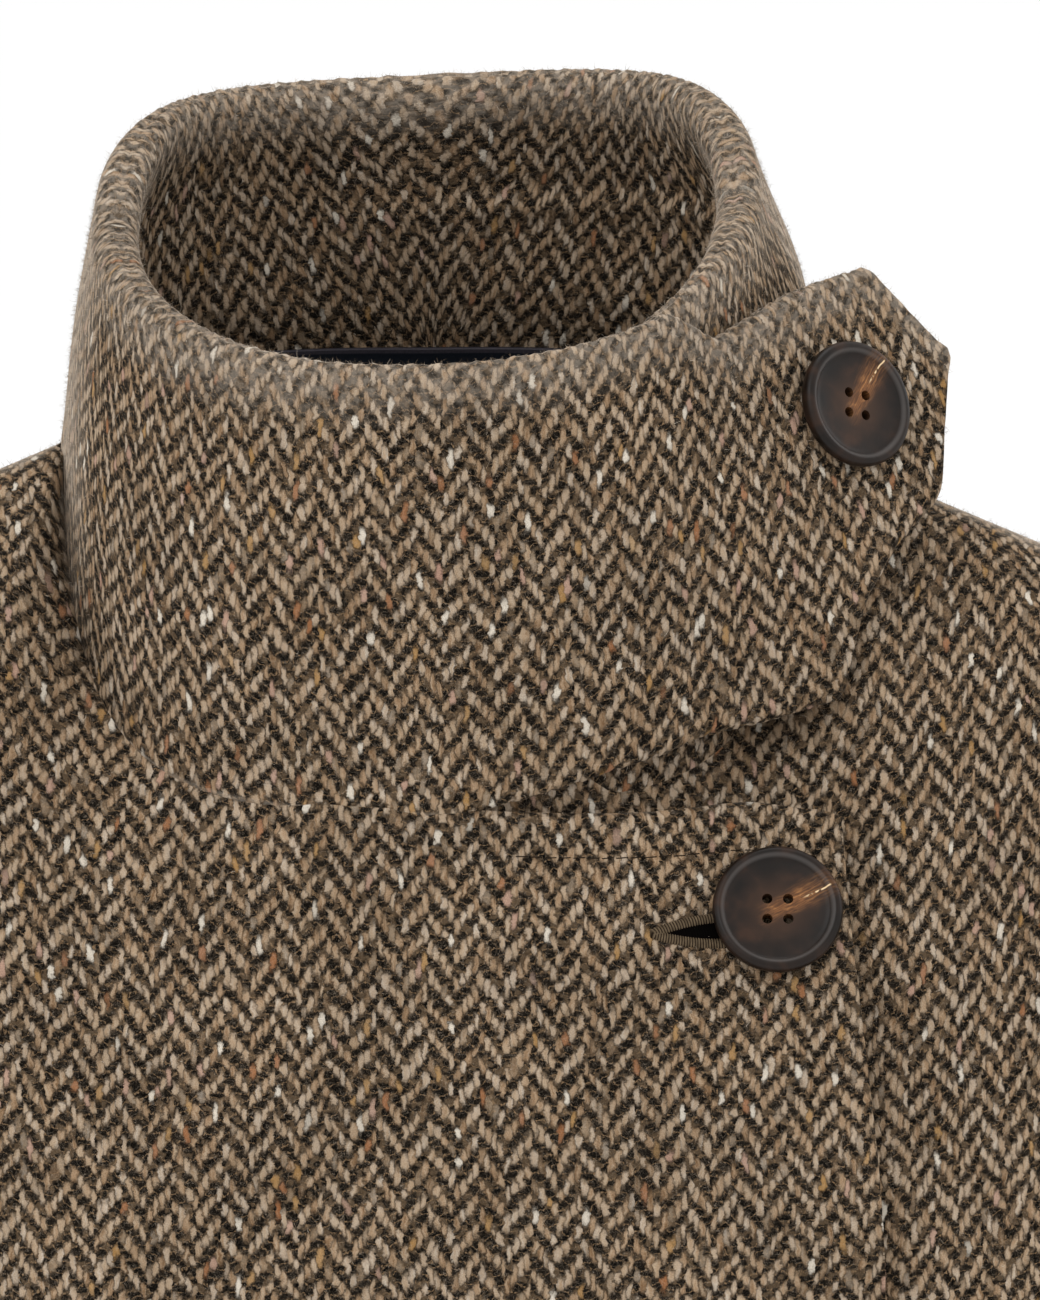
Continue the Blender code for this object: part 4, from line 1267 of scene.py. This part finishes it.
def hornMaterial():
    material, kit, shader = newMaterial("horn")
    place = kit.put("ShaderNodeUVMap", uv_map="face").outputs[0]
    wander = kit.vector("SUBTRACT", kit.noise(place, 260.0, 2.0, "Color"), (0.5, 0.5, 0.5))
    bent = kit.vector("ADD", place, kit.vector("MULTIPLY", wander, (0.003, 0.0009, 0.0)))
    x, y, _ = kit.split(bent)
    spread = kit.calc("MULTIPLY_ADD", kit.calc("ABSOLUTE", x), 0.10, 0.0021)
    inside = kit.calc("DIVIDE", kit.calc("ABSOLUTE", y), spread)
    reach = kit.calc("MULTIPLY", kit.between(-0.0055, 0.0010, x), kit.between(0.0135, 0.0045, x, 0.30, 1.0))
    flare = kit.calc("MULTIPLY", kit.between(1.45, 0.15, inside), reach)
    fibre = kit.noise(kit.vector("MULTIPLY", bent, (0.16, 1.0, 1.0)), 2400.0, 2.0)
    flare = kit.calc("MULTIPLY", flare, kit.between(0.25, 0.72, fibre, 0.66, 1.0))
    cloud = kit.noise(place, 150.0, 2.0)
    base = kit.ramp(cloud, button["dark"])
    measure = kit.put("ShaderNodeVectorMath", operation="LENGTH")
    kit.feed(measure.inputs[0], place)
    fromMiddle = measure.outputs["Value"]
    base = kit.mix(kit.between(0.0105, 0.0015, fromMiddle, 0.0, 0.55), base, button["warm"])
    # painted highlight: a pale thin ring just inside the rim's edge
    ring = kit.calc("ABSOLUTE", kit.calc("SUBTRACT", fromMiddle, button["rimHighlightRadius"]))
    base = kit.mix(kit.between(0.00075, 0.00005, ring, 0.0, 0.36), base, button["rimHighlight"])
    colour = kit.mix(flare, base, kit.ramp(fibre, button["amber"]))
    straightX, straightY, _ = kit.split(place)
    line = kit.calc("ABSOLUTE", kit.calc("ADD", straightY, kit.calc("MULTIPLY", straightX, 0.06)))
    broken = kit.patches(place, button["glintPatches"])
    start = kit.between(0.0060, 0.0085, straightX)
    ends = kit.calc("MULTIPLY", start, kit.between(0.0136, 0.0130, straightX))
    glint = kit.calc("MULTIPLY", kit.between(0.00026, 0.00010, line), kit.calc("MULTIPLY", ends, broken))
    colour = kit.mix(glint, colour, button["glint"])
    kit.feed(shader.inputs["Base Color"], colour)
    kit.feed(shader.inputs["Roughness"], kit.between(0.3, 0.7, cloud, 0.36, 0.46))
    shader.inputs["Specular IOR Level"].default_value = 0.20
    bump = kit.put("ShaderNodeBump")
    bump.inputs["Strength"].default_value = 0.05
    bump.inputs["Distance"].default_value = 0.0003
    kit.feed(bump.inputs["Height"], fibre)
    kit.feed(shader.inputs["Normal"], bump.outputs[0])
    return material


def buttonMesh():
    bm = bmesh.new()
    points = [bm.verts.new((radius, 0, height)) for radius, height in button["profile"]]
    edges = [bm.edges.new(pair) for pair in zip(points, points[1:])]
    bmesh.ops.spin(
        bm, geom=points + edges, cent=(0, 0, 0), axis=(0, 0, 1),
        angle=2 * math.pi, steps=button["sides"], use_merge=True,
    )
    bmesh.ops.remove_doubles(bm, verts=bm.verts, dist=1e-6)
    bmesh.ops.recalc_face_normals(bm, faces=bm.faces)
    blank = addObject("buttonBlank", meshFrom("buttonBlank", bm))
    bm = bmesh.new()
    for quarter in range(4):
        turn = math.radians(45 + 90 * quarter)
        reach = button["holeSpacing"] / math.sqrt(2)
        for height, depth, low, high in button["cuts"]:
            place = Matrix.Translation((math.cos(turn) * reach, math.sin(turn) * reach, height))
            bmesh.ops.create_cone(
                bm, cap_ends=True, segments=button["holeSides"], radius1=button["holeRadius"] * low,
                radius2=button["holeRadius"] * high, depth=depth, matrix=place,
            )
    drill = addObject("buttonDrill", meshFrom("buttonDrill", bm))
    cut = blank.modifiers.new("holes", "BOOLEAN")
    cut.operation, cut.solver, cut.object = "DIFFERENCE", "EXACT", drill
    cut.use_self = True
    graph = bpy.context.evaluated_depsgraph_get()
    drilled = bpy.data.meshes.new_from_object(blank.evaluated_get(graph))
    bpy.data.objects.remove(blank)
    bpy.data.objects.remove(drill)
    return drilled


def buttonSeat(node):
    # where the CAD button lies: the middle of its back, and the way its face looks
    spots = np.array([v.co for v in nodes[node].data.vertices])
    middle = (spots.min(0) + spots.max(0)) / 2
    _, _, axes = np.linalg.svd(spots - spots.mean(0))
    face = axes[2]
    face = -face if face[1] > 0 else face
    reach = (spots - middle) @ face
    return Vector(middle + face * reach.min()), Vector(face)


def makeButtons():
    material = hornMaterial()
    drilled = buttonMesh()
    for node, streak in button["streaks"].items():
        place, face = buttonSeat(node)
        across = Vector((1, 0, 0)) - face * face.x
        across.normalize()
        upward = face.cross(across)
        frameMatrix = Matrix((across, upward, face)).transposed().to_4x4()
        frameMatrix.translation = place
        mesh = drilled.copy()
        mesh.name = node
        spots = np.array([v.co for v in mesh.vertices])
        turn = math.radians(streak)
        local = np.stack(
            [
                spots[:, 0] * math.cos(turn) + spots[:, 1] * math.sin(turn),
                spots[:, 1] * math.cos(turn) - spots[:, 0] * math.sin(turn),
            ],
            -1,
        )
        corner = np.empty(len(mesh.loops), np.int32)
        mesh.loops.foreach_get("vertex_index", corner)
        layer = mesh.uv_layers.new(name="face")
        layer.data.foreach_set("uv", local[corner].astype(np.float32).reshape(-1))
        mesh.transform(frameMatrix)
        mesh.shade_smooth()
        mesh.set_sharp_from_angle(angle=math.radians(button["sharpFrom"]))
        addPiece("horn_" + node, mesh, material, [node])


makeButtons()
print("buttons made")


# Buttonholes: left of each front button a dark patch just proud of the cloth, painted shadow for the
# opening, edged with twist stitches
hole = {
    "tip": -0.0286,
    "end": 0.0020,
    "drop": 0.0038,
    "halfOpen": 0.0026,
    "steps": 46,
    "lipRadius": 0.00125,
    "lipFlat": 0.75,
    "stitch": 0.00062,
    "slant": 0.9,
    "roundFlat": 0.0003,
    "ringsPerStitch": 5,
    "slitRows": 9,
    "slitProud": 0.0002,
    "slitWall": 0.0001,
    "threadPatches": (1900.0, 2.0, 0.2, 0.8, 0.5, 1.0),
    "around": 12,
}


def onSurface(tree, x, z, lift=0.0):
    place, normal, _, _ = tree.ray_cast(Vector((x, -1, z)), Vector((0, 1, 0)))
    normal = normal if normal.y < 0 else -normal
    return np.array(place + normal * lift), np.array(normal)


def threadMaterial(name, low, high):
    material, kit, shader = newMaterial(name)
    place = kit.put("ShaderNodeUVMap", uv_map="weave").outputs[0]
    along, around, _ = kit.split(place)
    turns = kit.calc("MULTIPLY", along, math.pi / hole["stitch"])
    wrap = kit.calc("MULTIPLY_ADD", around, hole["slant"] / 2 / hole["roundFlat"], turns)
    # twist stitches: each wrap lighter on its crest, with painted shade in the groove between wraps
    ridge = kit.calc("POWER", kit.calc("ABSOLUTE", kit.calc("COSINE", wrap)), 1.5)
    share = kit.calc("MULTIPLY", ridge, kit.patches(place, hole["threadPatches"]))
    kit.feed(shader.inputs["Base Color"], kit.mix(share, low, high))
    shader.inputs["Roughness"].default_value = 0.85
    shader.inputs["Specular IOR Level"].default_value = 0.02
    return material


def makeButtonhole(name, tree, centre, twist, shadow):
    share = np.linspace(0, 1, hole["steps"] + 1)
    xs = centre.x + hole["tip"] + (hole["end"] - hole["tip"]) * share
    opening = hole["halfOpen"] * np.sin(np.pi * share) ** 0.85
    middle = centre.z - hole["drop"]
    # painted shadow: a dark sheet just above the cloth stands for the opening and its shade
    rows = np.linspace(-1, 1, hole["slitRows"])
    proud = hole["slitProud"]
    points = np.array(
        [[onSurface(tree, x, middle + o * r, proud)[0] for x, o in zip(xs, opening)] for r in rows]
    )
    paintedShadowSlit = makeMesh(name + "PaintedShadowSlit", points, points[..., ::2])
    addPiece(name + "PaintedShadowSlit", paintedShadowSlit, shadow, wall=hole["slitWall"])

    # one cord runs from the right end round the tip and back, wrapped in stitches
    pathX = np.concatenate([xs[::-1], xs[1:]])
    pathZ = middle + np.concatenate([opening[::-1], -opening[1:]])
    run = np.concatenate([[0], np.cumsum(np.hypot(np.diff(pathX), np.diff(pathZ)))])
    rings = int(run[-1] / hole["stitch"] * hole["ringsPerStitch"])
    along = np.linspace(0, run[-1], rings)
    places = zip(np.interp(along, run, pathX), np.interp(along, run, pathZ))
    spots = [onSurface(tree, x, z) for x, z in places]
    centreLine = np.array([s[0] for s in spots])
    normal = np.array([s[1] for s in spots])
    aside = unit(np.cross(unit(np.gradient(centreLine, axis=0)), normal))
    turn = np.linspace(0, 2 * np.pi, hole["around"] + 1)
    phase = along[:, None] / hole["stitch"] + hole["slant"] * turn[None, :] / (2 * np.pi)
    radius = hole["lipRadius"] * (0.78 + 0.22 * np.abs(np.cos(np.pi * phase)))
    radius[:, -1] = radius[:, 0]
    ring = aside[:, None] * np.cos(turn)[None, :, None]
    ring = ring + normal[:, None] * np.sin(turn)[None, :, None] * hole["lipFlat"]
    cord = centreLine[:, None] + ring * radius[..., None]
    flat = np.stack(np.broadcast_arrays(along[:, None], turn[None, :] * hole["roundFlat"]), -1)
    mesh = makeMesh(name + "Lips", cord, flat, closed=True, capped=True)
    addPiece(name + "Lips", mesh, twist)


rightTree = treeOf(frontRight.data)
twistThread = threadMaterial("twist", tone(26, 20, 14), tone(112, 96, 76))
# near-black material for the painted shadow in the buttonhole openings
slitShadow = threadMaterial("paintedShadowSlit", tone(3, 2, 2), tone(8, 6, 5))
for number in range(1, 5):
    seat, _ = buttonSeat("button_front_%d" % number)
    makeButtonhole("buttonhole%d" % number, rightTree, seat, twistThread, slitShadow)
print("buttonholes made")


# Topstitch: one fine row below the right front's top edge
stitch = {
    "from": 0.020,
    "to": 0.092,
    "below": 0.0093,
    "long": 0.0027,
    "gap": 0.0006,
    "radius": 0.00013,
    "proud": 0.00004,
    "searched": (-0.045, -0.110),
    "tries": 400,
}


def makeTopstitch():
    bm = bmesh.new()
    count = int((stitch["to"] - stitch["from"]) / (stitch["long"] + stitch["gap"]))
    heights = np.linspace(*stitch["searched"], stitch["tries"])
    for index in range(count):
        x = stitch["from"] + index * (stitch["long"] + stitch["gap"])
        top = next(z for z in heights if rightTree.ray_cast(Vector((x, -1, z)), Vector((0, 1, 0)))[0])
        first, _ = onSurface(rightTree, x, top - stitch["below"], stitch["proud"])
        last, _ = onSurface(rightTree, x + stitch["long"], top - stitch["below"], stitch["proud"])
        way = Vector(last - first)
        place = Matrix.Translation((first + last) / 2) @ way.to_track_quat("Z", "Y").to_matrix().to_4x4()
        bmesh.ops.create_cone(
            bm, cap_ends=True, segments=8, radius1=stitch["radius"], radius2=stitch["radius"],
            depth=way.length, matrix=place, calc_uvs=False,
        )
    mesh = meshFrom("topstitch", bm)
    mesh.uv_layers.new(name="weave")
    mesh.shade_smooth()
    addPiece("topstitch", mesh, threadMaterial("sewing", tone(30, 24, 19), tone(48, 39, 31)))


makeTopstitch()
print("topstitch made")


# Nap: short loose fibres over the shown cloth, thickest along rims and edges
nap = {
    "seed": 11,
    "count": 48000,
    "lowest": -0.19,
    "edgeWeight": 7.0,
    "sideWeight": 9.0,
    "sideLowest": -0.06,
    "length": (0.0006, 0.0016),
    "half": 0.000032,
    "lean": 0.9,
    "leastRise": 0.25,
    "bend": 0.7,
    "rooted": 0.0001,
    "taper": (1.0, 0.8, 0.25),
    "shades": [
        (0.0, tone(60, 50, 40)),
        (0.35, tone(128, 110, 90)),
        (0.7, tone(168, 150, 130)),
        (1.0, tone(206, 194, 178)),
    ],
}


def makeNap(pieces):
    rng = np.random.default_rng(nap["seed"])
    corners, normals, weights = [], [], []
    for piece in pieces:
        mesh = piece.data
        quads = [p for p in mesh.polygons if len(p.vertices) == 4]
        spots = np.array([v.co for v in mesh.vertices])
        edgePale = np.array([d.value for d in mesh.attributes["edgeMark"].data])
        index = np.array([p.vertices[:] for p in quads])
        area = np.array([p.area for p in quads])
        facing = np.array([p.normal for p in quads])
        high = spots[index].mean(1)[:, 2]
        turned = (1 - np.abs(facing[:, 1])) ** 3 * (high > nap["sideLowest"])
        edgePale = np.maximum(edgePale[index].mean(1), 0)
        weight = area * (1 + nap["edgeWeight"] * edgePale + nap["sideWeight"] * turned)
        weight = weight * (high > nap["lowest"])
        corners.append(spots[index])
        normals.append(facing)
        weights.append(weight)
    corners, normals, weights = np.concatenate(corners), np.concatenate(normals), np.concatenate(weights)
    picked = rng.choice(len(weights), nap["count"], p=weights / weights.sum())
    a, b = rng.random((2, nap["count"], 1))
    quad, up = corners[picked], normals[picked]
    root = (quad[:, 0] * (1 - a) + quad[:, 1] * a) * (1 - b) + (quad[:, 3] * (1 - a) + quad[:, 2] * a) * b
    size = rng.uniform(*nap["length"], (nap["count"], 1)) * (0.5 + rng.random((nap["count"], 1)))
    way = unit(up + nap["lean"] * rng.normal(size=root.shape))
    way = unit(way + up * np.clip(nap["leastRise"] - (way * up).sum(1, keepdims=True), 0, 2))
    bend = unit(way + nap["bend"] * rng.normal(size=root.shape))
    middle = root + way * size * 0.5
    tip = middle + bend * size * 0.5
    side = unit(np.cross(way, rng.normal(size=root.shape))) * nap["half"]
    rows = np.stack([root - up * nap["rooted"], middle, tip], 1)
    thin = np.array(nap["taper"])[None, :, None]
    strip = np.stack([rows - side[:, None] * thin, rows + side[:, None] * thin], 2).reshape(-1, 2, 3)
    shade = np.repeat(rng.random(nap["count"]), 3)
    flat = np.stack([shade, shade], -1)[:, None, :].repeat(2, axis=1)
    mesh = makeMesh("nap", strip, flat)
    bm = bmesh.new()
    bm.from_mesh(mesh)
    bm.faces.ensure_lookup_table()
    joins = [face for index, face in enumerate(bm.faces) if index % 3 == 2]
    bmesh.ops.delete(bm, geom=joins, context="FACES_ONLY")
    bm.to_mesh(mesh)
    bm.free()
    material, kit, shader = newMaterial("fibre")
    place = kit.put("ShaderNodeUVMap", uv_map="weave").outputs[0]
    shade, _, _ = kit.split(place)
    kit.feed(shader.inputs["Base Color"], kit.ramp(shade, nap["shades"]))
    shader.inputs["Roughness"].default_value = 0.9
    shader.inputs["Specular IOR Level"].default_value = 0.05
    addPiece("nap", mesh, material)


makeNap([collarBand, frontLeft, frontRight, coatBack])
print("nap made")


# Studio: pale floor, soft light, and the photo's camera
studio = {
    "target": (0.021, -0.095, -0.0262),
    "distance": 2.0,
    "elevation": 12.0,
    "frameHeight": 0.295,
    "sensor": 36.0,
    "floorSize": 40.0,
    "floorBelow": 0.004,
    "floorShade": (0.94, 0.94, 0.94, 1.0),
    "world": 1.06,
    "aim": (0.0, 0.0, -0.05),
    # name, place, size, watts
    "lamps": [
        ("key", (-1.1, -1.9, 1.9), 1.6, 17.0),
        ("fill", (1.6, -1.6, 0.9), 1.8, 3.0),
        ("top", (0.1, 0.5, 2.2), 1.4, 9.0),
        ("left", (-2.2, 0.5, 0.8), 1.2, 12.0),
        ("right", (2.2, 0.6, 0.9), 1.2, 7.0),
    ],
}


def makeStudio():
    bm = bmesh.new()
    bmesh.ops.create_grid(bm, x_segments=2, y_segments=2, size=studio["floorSize"] / 2)
    mesh = meshFrom("floor", bm)
    mesh.transform(Matrix.Translation((0, 0, cadBox[0].z - studio["floorBelow"])))
    material, _, shader = newMaterial("floor")
    shader.inputs["Base Color"].default_value = studio["floorShade"]
    shader.inputs["Roughness"].default_value = 0.9
    mesh.materials.append(material)
    floor = addObject("floor", mesh)

    world = bpy.data.worlds.new("studio")
    bpy.context.scene.world = world
    world.use_nodes = True
    backdrop = world.node_tree.nodes["Background"]
    backdrop.inputs["Color"].default_value = (1.0, 1.0, 1.0, 1.0)
    backdrop.inputs["Strength"].default_value = studio["world"]

    for name, place, size, power in studio["lamps"]:
        light = bpy.data.lights.new(name, "AREA")
        light.shape = "DISK"
        light.size = size
        light.energy = power
        lamp = addObject(name, light)
        lamp.location = place
        aim = Vector(studio["aim"]) - Vector(place)
        lamp.rotation_mode = "QUATERNION"
        lamp.rotation_quaternion = aim.to_track_quat("-Z", "Y")

    eye = bpy.data.cameras.new("camera")
    eye.sensor_width = studio["sensor"]
    eye.lens = studio["sensor"] * studio["distance"] / studio["frameHeight"]
    eye.clip_end = 100.0
    camera = addObject("camera", eye)
    tilt = math.radians(studio["elevation"])
    back = Vector((0, -math.cos(tilt), math.sin(tilt)))
    camera.location = Vector(studio["target"]) + back * studio["distance"]
    camera.rotation_mode = "QUATERNION"
    camera.rotation_quaternion = (-back).to_track_quat("-Z", "Y")
    bpy.context.scene.camera = camera
    bpy.context.scene.view_settings.view_transform = "Standard"


makeStudio()
print("studio made")
